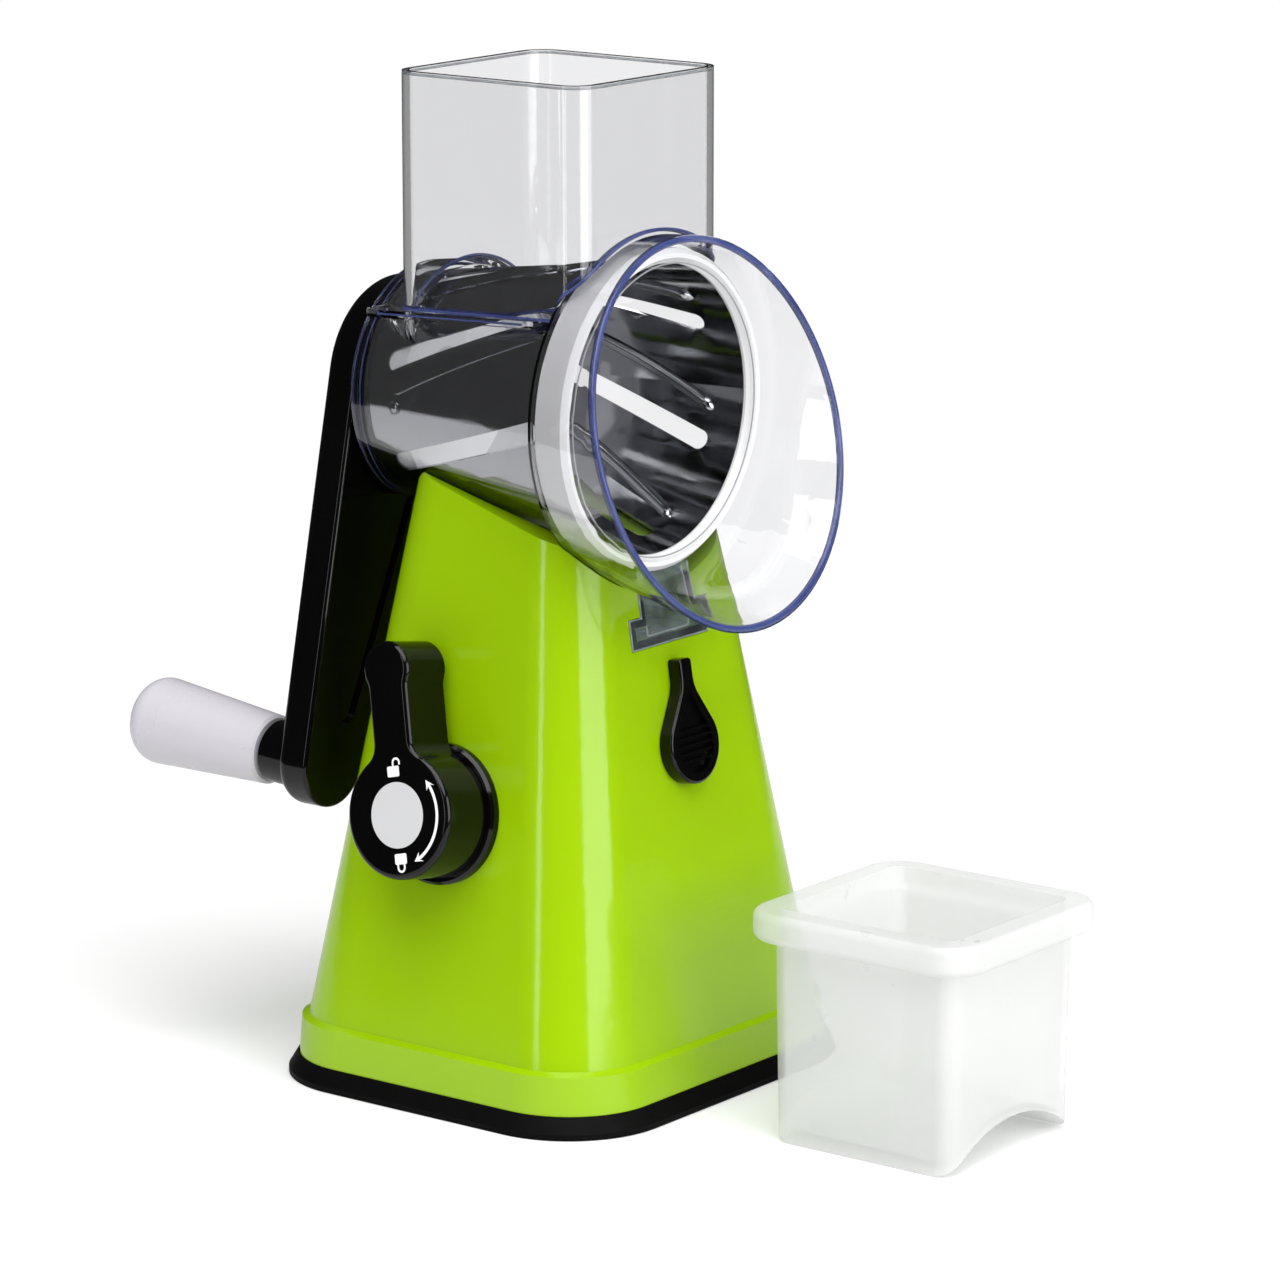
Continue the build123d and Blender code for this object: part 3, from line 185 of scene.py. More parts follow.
def printed(outlines, turn, radius):
    """Flat printed shapes, closed rings of points in mm, turned clockwise to their place on the face."""
    points, faces = [], []
    c, s = math.cos(math.radians(turn)), math.sin(math.radians(turn))
    for outline in outlines:
        first = len(points)
        n = len(outline)
        for rise in (PRINT_MM, 0.0):
            for x, y in outline:
                y = y + radius
                points.append(on_knob(x * c + y * s, -x * s + y * c, rise))
        area = sum(outline[i][0] * outline[(i + 1) % n][1] - outline[(i + 1) % n][0] * outline[i][1]
                   for i in range(n))      # its sign says which way round the outline goes
        order = list(range(n)) if area > 0 else list(range(n - 1, -1, -1))
        faces.append([first + i for i in order])
        faces.append([first + n + i for i in reversed(order)])
        for i in range(n):
            a, b = order[i], order[(i + 1) % n]
            faces.append([first + a, first + n + a, first + n + b, first + b])
    return points, faces


def arc(x, y, r, start, end, steps):
    """Points round a centre, anticlockwise in degrees from the right."""
    return [(x + r * math.cos(math.radians(start + (end - start) * i / steps)),
             y + r * math.sin(math.radians(start + (end - start) * i / steps))) for i in range(steps + 1)]


def padlock(shackle_x):
    """A padlock about 4 mm wide: a rounded body and a shackle, which is moved to one side when open."""
    w, h, r, body_drop = 2.1, 1.5, 0.45, 1.3
    body = (arc(w - r, -h + r, r, -90, 0, 4) + arc(w - r, h - r, r, 0, 90, 4)
            + arc(-w + r, h - r, r, 90, 180, 4) + arc(-w + r, -h + r, r, 180, 270, 4))
    body = [(x, y - body_drop) for x, y in body]
    outer_r, inner_r, bend_y, leg_y = 1.45, 0.85, 1.1, 0.25
    free_y = 0.45 if shackle_x else leg_y
    outer = arc(shackle_x, bend_y, outer_r, 0, 180, 14)
    inner = arc(shackle_x, bend_y, inner_r, 180, 0, 14)
    ring = ([(shackle_x + outer_r, free_y)] + outer
            + [(shackle_x - outer_r, leg_y), (shackle_x - inner_r, leg_y)]
            + inner + [(shackle_x + inner_r, free_y)])
    return [body, ring]


def make_mesh(name, points, faces, material, smooth=False):
    """A new object at the origin, from points in metres."""
    mesh = bpy.data.meshes.new(name)
    mesh.from_pydata(points, [], faces)
    mesh.polygons.foreach_set("use_smooth", [smooth] * len(mesh.polygons))
    mesh.materials.append(material)
    mesh.update()
    made = bpy.data.objects.new(name, mesh)
    bpy.context.scene.collection.objects.link(made)
    return made


def knob_arrow():
    """The double-headed arrow, from 38 to 146 degrees clockwise of up at a radius of 14.3 mm."""
    mid, half, barb = 14.3, 0.45, 1.5
    start, end, head, neck = 38.0, 146.0, 11.0, 0.7

    def spot(angle, r):
        return (r * math.sin(math.radians(angle)), r * math.cos(math.radians(angle)))

    steps = 30
    inner_start, inner_end = start + head * neck, end - head * neck
    angles = [inner_start + (inner_end - inner_start) * i / steps for i in range(steps + 1)]
    shape = [spot(start, mid)] + [spot(start + head, mid + barb)] + [spot(a, mid + half) for a in angles]
    shape += [spot(end - head, mid + barb), spot(end, mid), spot(end - head, mid - barb)]
    shape += [spot(a, mid - half) for a in reversed(angles)] + [spot(start + head, mid - barb)]
    return [shape]


# Pad-printed white ink: a thin dry film, matt beside the gloss around it.
white_ink = moulded("matt_white_ink", "#E2E2E2", "#F0F0F0", rough=0.45, wave_mm=0.6, wave_um=4.0)
points, faces = [], []
for outlines, turn, radius in ((padlock(1.2), -14, PADLOCKS_R), (padlock(0), 166, PADLOCKS_R),
                               (knob_arrow(), 0, 0)):
    more_points, more_faces = printed(outlines, turn, radius)
    faces += [[len(points) + i for i in face] for face in more_faces]
    points += more_points
knob_print = make_mesh("knob_print", points, faces, white_ink)
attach(knob_print, "suction_lever")


# --- Release button ---------------------------------------------------------------------------
# A drop-shaped slide on the front wall that frees the hopper when pushed down.
# Gloss black ABS with a ribbed thumb pocket.

wear(black_abs, "release_button")


# --- Clear hopper -----------------------------------------------------------------------------
# Barrel, feed chute, outlet flare and the foot that slides into the tower, in one moulding.
# Water-clear styrene acrylonitrile; its edges look blue where the light runs along the wall.

# Clear resin: a moulding ripple about 22 mm apart and up to 60 micrometres deep bends what is seen through
# it, wiping haze dulls it here and there, and a faint blue dye gathers where the light's way is long.
clear_san, tree, place = finish_of("clear_styrene_acrylonitrile")
flow = add(tree, "ShaderNodeTexNoise", None, {"Vector": place, "Scale": 1 / 0.022, "Detail": 1.0})
ripple = add(tree, "ShaderNodeBump", None,
             {"Height": flow.outputs["Fac"], "Distance": 60e-6, "Strength": 1.0})
haze = add(tree, "ShaderNodeTexNoise", None, {"Vector": place, "Scale": 1 / 0.009, "Detail": 5.0})
gloss = add(tree, "ShaderNodeMapRange", None,
            {"Value": haze.outputs["Fac"], "From Min": 0.35, "From Max": 0.75,
             "To Min": 0.0, "To Max": 0.03})
clear = add(tree, "ShaderNodeBsdfPrincipled", None,
            {"Base Color": linear("#F7F7F8"), "Roughness": gloss.outputs[0], "IOR": 1.5,
             "Transmission Weight": 1.0, "Normal": ripple.outputs[0]})
edge_blue = add(tree, "ShaderNodeVolumeAbsorption", None, {"Color": linear("#AEB4CC"), "Density": 9.0})
add(tree, "ShaderNodeOutputMaterial", None, {"Surface": clear.outputs[0], "Volume": edge_blue.outputs[0]})
wear(clear_san, "hopper")


# Its thick edges and bends gather the tint, so they show as dark blue lines, painted on as beads along them:
# the blue is the resin's dye, and their darkness is painted shade.
def evaluated(made, name, tree, values):
    """Runs a node tree on an object with the named inputs, and puts a plain mesh object in its place."""
    grow = made.modifiers.new(tree.name, "NODES")
    grow.node_group = tree
    for item in tree.interface.items_tree:
        if item.item_type == "SOCKET" and item.in_out == "INPUT" and item.name in values:
            grow[item.identifier] = values[item.name]
    result = made.evaluated_get(bpy.context.evaluated_depsgraph_get())
    mesh = bpy.data.meshes.new_from_object(result)
    mesh.name = name
    made.modifiers.remove(grow)
    bpy.data.objects.remove(made)
    plain = bpy.data.objects.new(name, mesh)
    bpy.context.scene.collection.objects.link(plain)
    return plain


def new_tree(name, sockets):
    """A new Geometry Nodes tree with these inputs, and its Group Input node."""
    tree = bpy.data.node_groups.new(name, "GeometryNodeTree")
    tree.interface.new_socket("Geometry", in_out="INPUT", socket_type="NodeSocketGeometry")
    for socket_name, kind in sockets:
        tree.interface.new_socket(socket_name, in_out="INPUT", socket_type=kind)
    tree.interface.new_socket("Geometry", in_out="OUTPUT", socket_type="NodeSocketGeometry")
    return tree, add(tree, "NodeGroupInput")


bead_tree, given = new_tree("bead_along_path", [("Bead radius", "NodeSocketFloat"),
                                                ("Finish", "NodeSocketMaterial")])
section = add(bead_tree, "GeometryNodeCurvePrimitiveCircle", None,
              {"Resolution": 10, "Radius": given.outputs["Bead radius"]})
bead = add(bead_tree, "GeometryNodeCurveToMesh", None,
           {"Curve": given.outputs["Geometry"], "Profile Curve": section.outputs[0], "Fill Caps": True})
rounded = add(bead_tree, "GeometryNodeSetShadeSmooth", None, {"Geometry": bead.outputs[0]})
real = add(bead_tree, "GeometryNodeRealizeInstances", None, {"Geometry": rounded.outputs[0]})
coated = add(bead_tree, "GeometryNodeSetMaterial", None,
             {"Geometry": real.outputs[0], "Material": given.outputs["Finish"]})
add(bead_tree, "NodeGroupOutput", None, {0: coated.outputs[0]})


def bead_line(name, lines, radius_mm, material):
    """Round beads along lines of points in mm; a line whose first point is also its last is closed."""
    curve = bpy.data.curves.new(name, "CURVE")
    curve.dimensions = "3D"
    for line in lines:
        closed = line[0] == line[-1]
        points = line[:-1] if closed else line
        spline = curve.splines.new("POLY")
        spline.points.add(len(points) - 1)
        spline.points.foreach_set(
            "co", [c for x, y, z in points for c in (x / 1000, y / 1000, z / 1000, 1)])
        spline.use_cyclic_u = closed
    made = bpy.data.objects.new(name + "_path", curve)
    bpy.context.scene.collection.objects.link(made)
    return evaluated(made, name, bead_tree, {"Bead radius": radius_mm / 1000, "Finish": material})


# Sizes of the moulding in mm: the barrel's axis lies along Y, and its mouth is towards -Y.
AXIS_Z = 196.2
BARREL_WALL = 3.1
DRUM_BACK_Y, DRUM_BACK_R = 44.5, 32.3
DRUM_FRONT_Y, DRUM_FRONT_R = -33.8, 41.9
SHOULDER_Y, SHOULDER_LONG, SOCKET_R = -23.4, 3.0, 45.7
FLARE_Y, FLARE_LONG, FLARE_START_R, FLARE_END_R = -26.4, 30.0, 48.8, 56.2
CHUTE_HALF_X, CHUTE_HALF_Y, CHUTE_Y, CHUTE_CORNER = 33.5, 33.7, 0.9, 8.0
MOUTH_HALF_X, MOUTH_HALF_Y, MOUTH_CORNER, MOUTH_Z = 32.4, 32.6, 6.9, 289.3
PLATE_TOP_Z, PLATE_MID_Z, PLATE_HALF_X, PLATE_FRONT_Y, PLATE_SLOPE = 224.2, 223.1, 35.7, -18.4, 0.0384


def cone_r(y):
    """Radius of the drum's steel at y, in mm."""
    return DRUM_BACK_R + (DRUM_BACK_Y - y) * (DRUM_FRONT_R - DRUM_BACK_R) / (DRUM_BACK_Y - DRUM_FRONT_Y)


def skin_r(y):
    """Outer radius of barrel, shoulder and flare at y, in mm."""
    if y > SHOULDER_Y:
        return cone_r(y) + BARREL_WALL
    if y > FLARE_Y:
        return SOCKET_R + BARREL_WALL - (y - FLARE_Y) / SHOULDER_LONG * (SOCKET_R - cone_r(SHOULDER_Y))
    return FLARE_START_R + (FLARE_END_R - FLARE_START_R) * (FLARE_Y - y) / FLARE_LONG


def ring_line(y, radius, tilt=0.0, z=AXIS_Z, steps=120):
    """A closed ring round the barrel's axis, leaning by tilt degrees."""
    c, s = math.cos(math.radians(tilt)), math.sin(math.radians(tilt))
    line = []
    for i in range(steps):
        a = math.tau * i / steps
        up = radius * math.cos(a)
        line.append((radius * math.sin(a), y + up * s, z + up * c))
    return line + line[:1]


def chute_outline(half_x, half_y, centre_y, r, step):
    """Points round a rectangle with round corners, in mm, starting and ending at the same point."""
    corners = ((half_x - r, half_y - r, 0), (r - half_x, half_y - r, 90),
               (r - half_x, r - half_y, 180), (half_x - r, r - half_y, 270))
    line = []
    for k, (cx, cy, start) in enumerate(corners):
        line += [(cx + r * math.cos(math.radians(start + a)),
                  centre_y + cy + r * math.sin(math.radians(start + a))) for a in range(0, 91, 10)]
        nx, ny, after = corners[(k + 1) % 4]
        end = (nx + r * math.cos(math.radians(after)), centre_y + ny + r * math.sin(math.radians(after)))
        x, y = line[-1]
        count = int(math.hypot(end[0] - x, end[1] - y) / step)
        line += [(x + (end[0] - x) * i / count, y + (end[1] - y) * i / count) for i in range(1, count)]
    return line + line[:1]


def chute_foot(grow, lift):
    """The line where the chute's walls meet the plate, the barrel and the shoulder."""
    line = []
    for x, y in chute_outline(CHUTE_HALF_X + grow, CHUTE_HALF_Y + grow, CHUTE_Y, CHUTE_CORNER + grow, 1.0):
        r = skin_r(y)
        on_barrel = AXIS_Z + math.sqrt(max(r * r - x * x, 0.0))
        line.append((x, y, max(PLATE_TOP_Z - PLATE_SLOPE * (y - PLATE_FRONT_Y), on_barrel) + lift))
    return line


# The dye hides the resin's yellow. A bead is strong in it, and streaked, as an edge seen along the wall is;
# its dark tone is painted shade along that edge.
dye_and_shade_edge, tree, place = finish_of("dye_and_painted_shade_edge")
streak = add(tree, "ShaderNodeTexNoise", None, {"Vector": place, "Scale": 1 / 0.014, "Detail": 2.0})
tint = add(tree, "ShaderNodeMix", {"data_type": "RGBA"},
           {0: streak.outputs["Fac"], 6: linear("#1D2960"), 7: linear("#56639E")})
edge = add(tree, "ShaderNodeBsdfPrincipled", None,
           {"Base Color": tint.outputs[2], "Roughness": 0.08, "IOR": 1.5, "Alpha": 0.72})
add(tree, "ShaderNodeOutputMaterial", None, {"Surface": edge.outputs[0]})
flare_bead = bead_line("flare_bead", [ring_line(-56.0, 55.0, tilt=14.7, z=191.7)], 1.0, dye_and_shade_edge)
back_bead = bead_line("barrel_back_bead", [ring_line(48.6, 34.2), ring_line(45.8, 34.4)], 0.42, dye_and_shade_edge)
foot_bead = bead_line("chute_foot_bead", [chute_foot(0.2, 0.2), chute_foot(-2.4, 0.6)], 0.5, dye_and_shade_edge)
ledge_lines = [[(side * PLATE_HALF_X, y, PLATE_MID_Z - PLATE_SLOPE * (y - PLATE_FRONT_Y))
                for y in range(-14, 40, 2)] for side in (-1, 1)]
ledge_bead = bead_line("ledge_bead", ledge_lines, 0.35, dye_and_shade_edge)

# The T-shaped key's face is flush with the tower's front wall, which leans back as it rises. Pale lines along
# its walls' edges are a painted highlight, and a thin grey-green film lightens its face.
FRONT_Y, FRONT_Z, FRONT_LEAN = -38.92, 130.0, 0.15834
STEM_HALF, BAR_HALF, BAR_FOOT_Z, BAR_TOP_Z, STEM_TOP_Z = 11.9, 17.5, 130.1, 138.4, 151


def on_front(x, z, proud):
    """A point x mm across and z mm up, that many mm in front of the tower's front wall."""
    return (x, FRONT_Y + FRONT_LEAN * (z - FRONT_Z) - proud, z)


key_outline = [(-STEM_HALF, STEM_TOP_Z), (-STEM_HALF, BAR_TOP_Z), (-BAR_HALF, BAR_TOP_Z),
               (-BAR_HALF, BAR_FOOT_Z), (BAR_HALF, BAR_FOOT_Z), (BAR_HALF, BAR_TOP_Z),
               (STEM_HALF, BAR_TOP_Z), (STEM_HALF, STEM_TOP_Z)]
key_hollow = [(x * 0.8, z) for x, z in ((-STEM_HALF, 150), (-STEM_HALF, 133.0), (STEM_HALF, 133.0),
                                        (STEM_HALF, 150))]
# Painted highlight: pale, soft, greyish white lines along the key's walls and the chute's mouth, where light
# catches the clear edges.
painted_highlight_edge, tree, place = finish_of("painted_highlight_clear_edge")
streak = add(tree, "ShaderNodeTexNoise", None, {"Vector": place, "Scale": 1 / 0.006, "Detail": 2.0})
tint = add(tree, "ShaderNodeMix", {"data_type": "RGBA"},
           {0: streak.outputs["Fac"], 6: linear("#7E8A90"), 7: linear("#CCD4D6")})
edge = add(tree, "ShaderNodeBsdfPrincipled", None,
           {"Base Color": tint.outputs[2], "Roughness": 0.2, "IOR": 1.5, "Alpha": 0.55})
add(tree, "ShaderNodeOutputMaterial", None, {"Surface": edge.outputs[0]})
key_edges = bead_line("key_edges", [[on_front(x, z, 0.0) for x, z in key_outline],
                                    [on_front(x, z, -0.4) for x, z in key_hollow]], 0.32, painted_highlight_edge)
mouth = [(x, y, MOUTH_Z) for x, y in chute_outline(MOUTH_HALF_X, MOUTH_HALF_Y, CHUTE_Y, MOUTH_CORNER, 3.0)]
mouth_bead = bead_line("chute_mouth_bead", [mouth], 0.42, painted_highlight_edge)

# A thin, uneven, grey-green film over the key's face that lightens it and lets the tower behind it show.
grey_green_film, tree, place = finish_of("key_haze")
stripes = add(tree, "ShaderNodeTexNoise", None, {"Vector": place, "Scale": 1 / 0.009, "Detail": 2.0})
haze_alpha = add(tree, "ShaderNodeMapRange", None,
                 {"Value": stripes.outputs["Fac"], "From Min": 0.3, "From Max": 0.7,
                  "To Min": 0.06, "To Max": 0.28})
skin = add(tree, "ShaderNodeBsdfPrincipled", None,
           {"Base Color": linear("#8FA09C"), "Roughness": 0.3, "IOR": 1.5, "Alpha": haze_alpha.outputs[0]})
add(tree, "ShaderNodeOutputMaterial", None, {"Surface": skin.outputs[0]})
points = [tuple(c / 1000 for c in on_front(x, z, proud))
          for proud in (-0.05, -0.25) for x, z in key_outline]
n = len(key_outline)
faces = [list(range(n)), list(range(2 * n - 1, n - 1, -1))]
faces += [[(i + 1) % n, i, n + i, n + (i + 1) % n] for i in range(n)]
key_haze = make_mesh("key_haze", points, faces, grey_green_film)
for piece in (flare_bead, back_bead, foot_bead, ledge_bead, mouth_bead, key_edges, key_haze):
    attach(piece, "root")


# --- Drum -------------------------------------------------------------------------------------
# A slightly conical slicing drum that pulls out of the hopper's mouth, with a white ring in front.
# Mirror-polished stainless sheet, pressed, rolled and riveted to moulded ends.

# Mirror steel: polishing lines run round the drum, drawn 0.6 mm apart so that they can show, with smears
# about 8 mm wide where it was wiped.
mirror_steel, tree, place = finish_of("mirror_stainless_sheet")
apart = add(tree, "ShaderNodeSeparateXYZ", None, {0: place})
lines_place = add(tree, "ShaderNodeCombineXYZ", None, {"Y": apart.outputs["Y"]})
lines = add(tree, "ShaderNodeTexNoise", None,
            {"Vector": lines_place.outputs[0], "Scale": 1 / 0.0006, "Detail": 3.0})
smears = add(tree, "ShaderNodeTexNoise", None, {"Vector": place, "Scale": 1 / 0.008, "Detail": 3.0})
gloss = add(tree, "ShaderNodeMapRange", None,
            {"Value": smears.outputs["Fac"], "From Min": 0.3, "From Max": 0.7,
             "To Min": 0.05, "To Max": 0.13})
bump = add(tree, "ShaderNodeBump", None, {"Height": lines.outputs["Fac"], "Distance": 1.5e-6})
steel = add(tree, "ShaderNodeBsdfPrincipled", None,
            {"Base Color": linear("#A3A5A9"), "Metallic": 1.0, "Roughness": gloss.outputs[0],
             "Normal": bump.outputs[0]})
add(tree, "ShaderNodeOutputMaterial", None, {"Surface": steel.outputs[0]})
wear(mirror_steel, "drum_shell", "drum_rivets")

# Pressed ridges inside, one above each slot, which stiffen the sheet and start the blade's ramp.
SLOTS = 7
SHEET = 0.6
RIDGE_HALF, RIDGE_HIGH, RIDGE_SUNK, RIDGE_ROOT = 2.2, 1.5, 0.05, 0.3
RIDGE_BACK_Y, RIDGE_LONG, RIDGE_END = 30.0, 54.5, 2.25
SLOT_TURN, SLOT_MID_Y, SLOT_SLANT, RIDGE_AHEAD = 99.5, 6.35, 0.756, 23.5      # degrees, mm, degrees/mm
around, along = 8, 40
points, faces = [], []
for i in range(along + 1):
    share = i / along
    y = RIDGE_BACK_Y - RIDGE_LONG * share
    turn = SLOT_TURN + (SLOT_MID_Y - y) * SLOT_SLANT - RIDGE_AHEAD
    past = max(abs(2 * share - 1) * RIDGE_LONG / 2 - (RIDGE_LONG / 2 - RIDGE_END), 0.0)
    end = min(1.0, math.sqrt(max(0.0, 1 - past ** 2 / RIDGE_END ** 2)))
    inner = cone_r(y) - SHEET
    for j in range(around + 1):
        across = 2 * j / around - 1
        height = RIDGE_HIGH * end * math.sqrt(max(0.0, 1 - across * across))
        a = math.radians(turn) + across * RIDGE_HALF * max(end, 0.3) / inner
        r = inner - height + RIDGE_SUNK
        points.append((r * math.sin(a) / 1000, y / 1000, r * math.cos(a) / 1000))
    a = math.radians(turn)
    r = inner + RIDGE_ROOT
    points.append((r * math.sin(a) / 1000, y / 1000, r * math.cos(a) / 1000))
row = around + 2
for i in range(along):
    for j in range(row):
        a, b = i * row + j, i * row + (j + 1) % row
        faces.append((a, b, b + row, a + row))
faces.append(tuple(range(row - 1, -1, -1)))
faces.append(tuple(along * row + j for j in range(row)))

turn_tree, given = new_tree("copies_round_barrel", [("Copies", "NodeSocketInt"),
                                                    ("Axis height", "NodeSocketFloat"),
                                                    ("Finish", "NodeSocketMaterial")])
spot = add(turn_tree, "ShaderNodeCombineXYZ", None, {"Z": given.outputs["Axis height"]})
spots = add(turn_tree, "GeometryNodePoints", None,
            {"Count": given.outputs["Copies"], "Position": spot.outputs[0]})
index = add(turn_tree, "GeometryNodeInputIndex")
pitch = add(turn_tree, "ShaderNodeMath", {"operation": "DIVIDE"}, {0: math.tau, 1: given.outputs["Copies"]})
angle = add(turn_tree, "ShaderNodeMath", {"operation": "MULTIPLY"},
            {0: index.outputs[0], 1: pitch.outputs[0]})
euler = add(turn_tree, "ShaderNodeCombineXYZ", None, {"Y": angle.outputs[0]})
turned = add(turn_tree, "FunctionNodeEulerToRotation", None, {0: euler.outputs[0]})
copies = add(turn_tree, "GeometryNodeInstanceOnPoints", None,
             {"Points": spots.outputs[0], "Instance": given.outputs["Geometry"],
              "Rotation": turned.outputs[0]})
real = add(turn_tree, "GeometryNodeRealizeInstances", None, {"Geometry": copies.outputs[0]})
coated = add(turn_tree, "GeometryNodeSetMaterial", None,
             {"Geometry": real.outputs[0], "Material": given.outputs["Finish"]})
add(turn_tree, "NodeGroupOutput", None, {0: coated.outputs[0]})

# Domed rivet heads, 3.2 mm across, one between slots near the drum's back, as bright as the sheet.
HEAD_R, HEAD_HIGH, HEAD_Y, HEAD_TURN, HEAD_LIFT, CONE_SLOPE = 1.6, 0.75, 33.0, 9.4, 0.1, 0.122
rings, sides = 5, 20
head_points, head_faces = [], []
turn = math.radians(HEAD_TURN)
out = Vector((math.sin(turn), CONE_SLOPE, math.cos(turn))).normalized()
across = out.orthogonal().normalized()
up = out.cross(across)
foot = Vector((math.sin(turn), 0, math.cos(turn))) * (cone_r(HEAD_Y) + HEAD_LIFT)
foot.y = HEAD_Y
for i in range(rings):
    a = math.radians(90 * i / rings)        # from the head's rim up to its crown
    for j in range(sides):
        b = math.tau * j / sides
        flat = (across * math.cos(b) + up * math.sin(b)) * HEAD_R * math.cos(a)
        head_points.append(tuple((foot + flat + out * HEAD_HIGH * math.sin(a)) / 1000))
head_points.append(tuple((foot + out * HEAD_HIGH) / 1000))
for i in range(rings - 1):
    for j in range(sides):
        k = (j + 1) % sides
        head_faces.append((i * sides + j, i * sides + k, (i + 1) * sides + k, (i + 1) * sides + j))
last = (rings - 1) * sides
head_faces += [(last + j, last + (j + 1) % sides, rings * sides) for j in range(sides)]
head_faces.append(tuple(range(sides - 1, -1, -1)))
head = make_mesh("one_rivet_head", head_points, head_faces, mirror_steel, smooth=True)
rivet_heads = evaluated(head, "rivet_heads", turn_tree,
                        {"Copies": SLOTS, "Axis height": AXIS_Z / 1000, "Finish": mirror_steel})
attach(rivet_heads, "crank")
ridge = make_mesh("one_ridge", points, faces, mirror_steel, smooth=True)
drum_ridges = evaluated(ridge, "drum_ridges", turn_tree,
                        {"Copies": SLOTS, "Axis height": AXIS_Z / 1000, "Finish": mirror_steel})
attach(drum_ridges, "crank")

# Satin ABS: the ring and the back disc are one grade, softer in gloss than the lever's cap; their whiter
# colour is painted light, making up for the lamp light that the clear hopper keeps from them.
ring_abs_painted_light = moulded("white_satin_abs_painted_light", "#DDDDDF", "#E6E6E8", rough=0.24, wave_mm=4.0, wave_um=4.0)
wear(ring_abs_painted_light, "drum_ring", "drum_back")

# A fine groove round the ring's face, where the mould's two halves met: the same plastic, seen in shade.
shade = moulded("ring_groove_shade", "#8A8B8F", "#A2A3A7", rough=0.4, wave_mm=4.0, wave_um=4.0)
ring_groove = bead_line("ring_groove", [ring_line(-37.5, 41.6)], 0.22, shade)
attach(ring_groove, "crank")


# --- Crank ------------------------------------------------------------------------------------
# The spindle that turns the drum, the leaning arm behind the barrel, and the grip's black collar.
# Gloss black ABS over a moulded hexagon, held by one screw under a press-in cap.

wear(black_abs, "crank_arm", "hub_cap", "grip_collar")
wear(black_nylon, "drive_spindle")


# --- Grip -------------------------------------------------------------------------------------
# A tapered handle that spins on its pin, with a domed cap in its end.
# Light grey ABS, satin from a fine blasted tool.

# Satin ABS: an even, soft highlight along its length, from blasting marks 0.8 mm apart.
grey_abs = moulded("satin_grey_abs", "#B9B6BD", "#C2BFC6", rough=0.30, wave_mm=0.8, wave_um=6.0)
wear(grey_abs, "grip", "grip_cap")


# --- Pusher -----------------------------------------------------------------------------------
# The loose box that presses food down the chute; it stands on the table when not in use.
# Thin milky polypropylene with a rolled rim, matt outside from the tool.

# Natural polypropylene: milky, so what stands behind it shows only as a soft shade.
milky_pp = moulded("milky_polypropylene", "#D2D4D2", "#DADCDA", rough=0.32, wave_mm=3.0, wave_um=8.0,
                   Alpha=0.42)
wear(milky_pp, "pusher")


# --- Floor, light and camera ------------------------------------------------------------------
# A pale table that runs out of sight, a white room, and large soft lamps.

# Matt laminate, near white: it takes the soft shadow and mirrors almost nothing.
pale_floor, tree, _ = finish_of("pale_floor")
paper = add(tree, "ShaderNodeBsdfPrincipled", None, {"Base Color": linear("#ECECEC"), "Roughness": 0.6})
add(tree, "ShaderNodeOutputMaterial", None, {"Surface": paper.outputs[0]})
TABLE_R, TABLE_Z, TABLE_SIDES = 0.75, -0.0002, 96
turns = [math.tau * i / TABLE_SIDES for i in range(TABLE_SIDES)]
rim = [(TABLE_R * math.cos(a), TABLE_R * math.sin(a), TABLE_Z) for a in turns]
floor = make_mesh("floor", rim, [list(range(TABLE_SIDES))], pale_floor)

# The room is white where it is looked at straight or through clear plastic, and dim where it is mirrored,
# as a studio is beside its white backdrop. Steel behind the clear wall, which light reaches through that
# wall's two faces, mirrors more of it, and matt surfaces get a soft fill.
world = bpy.data.worlds.new("pale_room")
bpy.context.scene.world = world
world.use_nodes = True
tree = world.node_tree
tree.nodes.clear()
path = add(tree, "ShaderNodeLightPath")
bounced = add(tree, "ShaderNodeMath", {"operation": "ADD"},
              {0: path.outputs["Glossy Depth"], 1: path.outputs["Diffuse Depth"]})
one_wall = add(tree, "ShaderNodeMath", {"operation": "COMPARE"},
               {0: path.outputs["Transmission Depth"], 1: 2.0, 2: 0.5})
shine = add(tree, "ShaderNodeMapRange", None,
            {"Value": one_wall.outputs[0], "To Min": 0.04, "To Max": 0.34})
straight = add(tree, "ShaderNodeMath", {"operation": "LESS_THAN"}, {0: bounced.outputs[0], 1: 0.5})
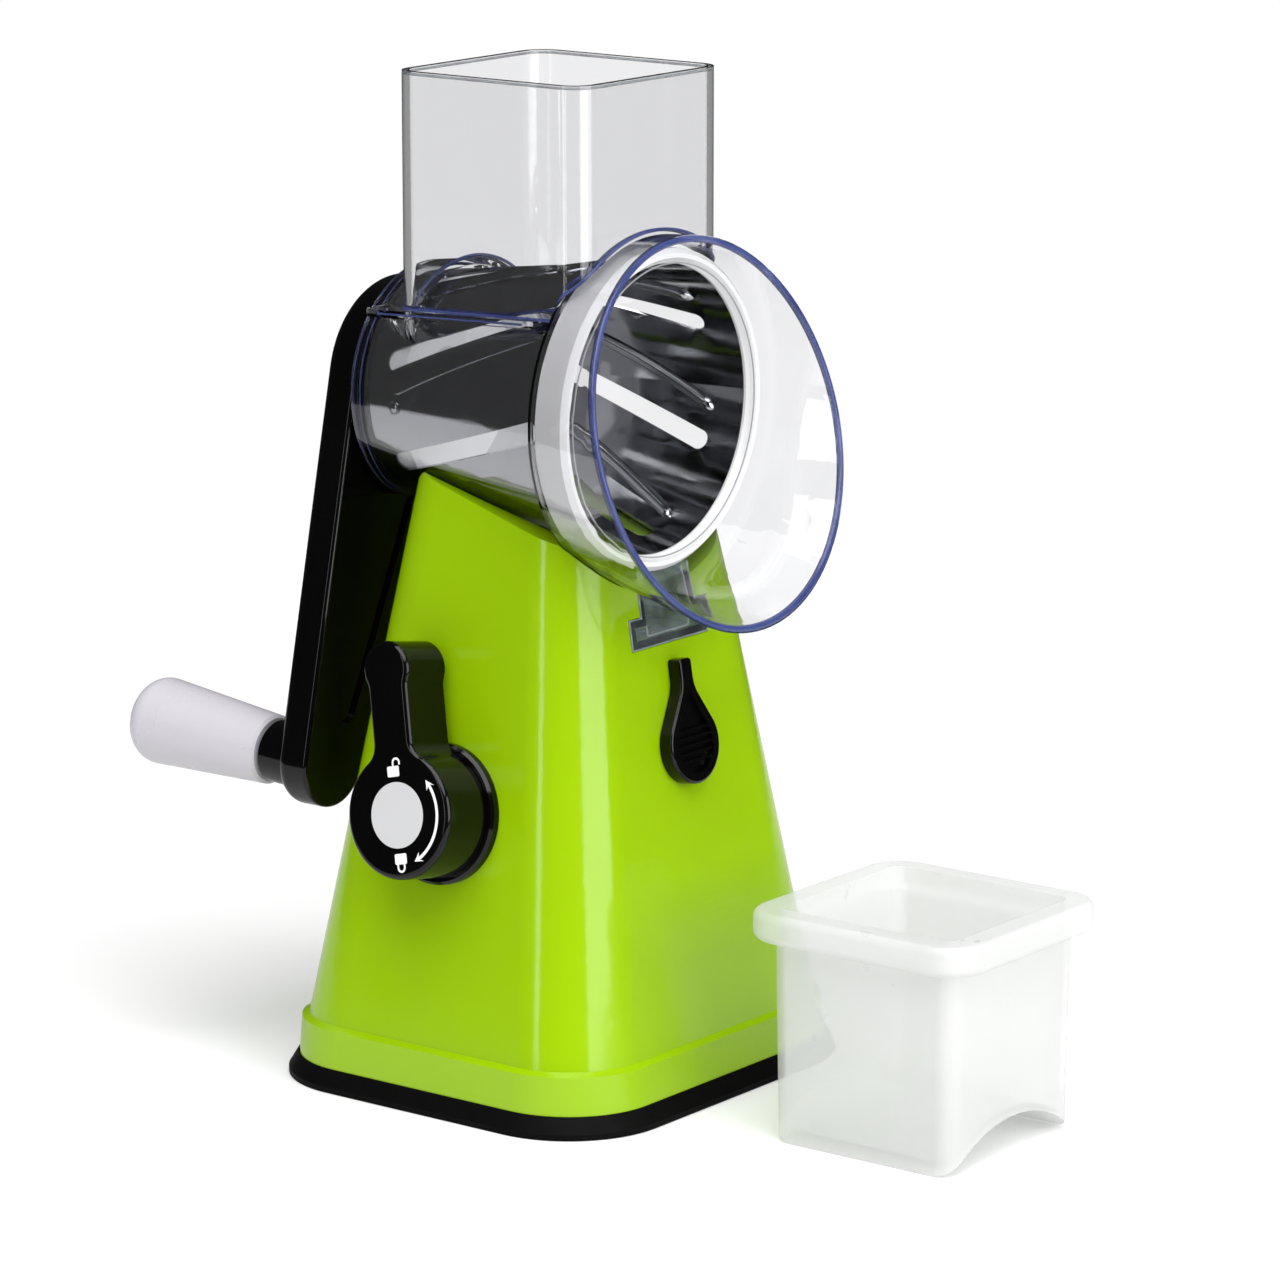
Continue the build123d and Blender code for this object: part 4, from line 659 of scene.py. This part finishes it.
mirrored = add(tree, "ShaderNodeMapRange", None,
               {"Value": path.outputs["Glossy Depth"], "To Min": 0.38, "To Max": shine.outputs[0]})
bright = add(tree, "ShaderNodeMix", {"data_type": "FLOAT"},
             {0: straight.outputs[0], 2: mirrored.outputs[0], 3: 1.0})
room = add(tree, "ShaderNodeBackground", None,
           {"Color": (1.0, 1.0, 1.0, 1.0), "Strength": bright.outputs[0]})
add(tree, "ShaderNodeOutputWorld", None, {"Surface": room.outputs[0]})
bpy.context.scene.view_settings.view_transform = "Standard"

overhead = bpy.data.lights.new("overhead", "SUN")
overhead.energy, overhead.angle = 3.35, math.radians(60)
overhead_lamp = bpy.data.objects.new("overhead", overhead)
bpy.context.scene.collection.objects.link(overhead_lamp)
overhead_lamp.rotation_mode = "QUATERNION"
overhead_lamp.rotation_quaternion = Vector((0.34, 0.28, -1.0)).to_track_quat("-Z", "Y")


def lamp(name, place, aim, wide, high, watts):
    """A rectangular soft lamp; sizes in metres."""
    data = bpy.data.lights.new(name, "AREA")
    data.shape = "RECTANGLE"
    data.size, data.size_y, data.energy = wide, high, watts
    made = bpy.data.objects.new(name, data)
    bpy.context.scene.collection.objects.link(made)
    made.location = place
    made.rotation_mode = "QUATERNION"
    made.rotation_quaternion = (Vector(aim) - Vector(place)).to_track_quat("-Z", "Y")


MIDDLE = (0, 0, 0.17)
lamp("front_softbox", (-0.1, -0.86, 0.36), MIDDLE, wide=0.74, high=0.56, watts=5.2)
lamp("left_strip", (-0.78, 0.07, 0.34), MIDDLE, wide=0.1, high=0.56, watts=0.7)

camera_data = bpy.data.cameras.new("camera")
camera = bpy.data.objects.new("camera", camera_data)
bpy.context.scene.collection.objects.link(camera)
camera_data.lens = 159.05
camera_data.sensor_width = 36.0
camera_data.clip_start, camera_data.clip_end = 0.05, 60.0
camera.location = (-1.2480, -0.9812, 0.4816)
camera.rotation_mode = "QUATERNION"
camera.rotation_quaternion = Vector((0.7754, 0.5922, -0.2192)).to_track_quat("-Z", "Y")
bpy.context.scene.camera = camera
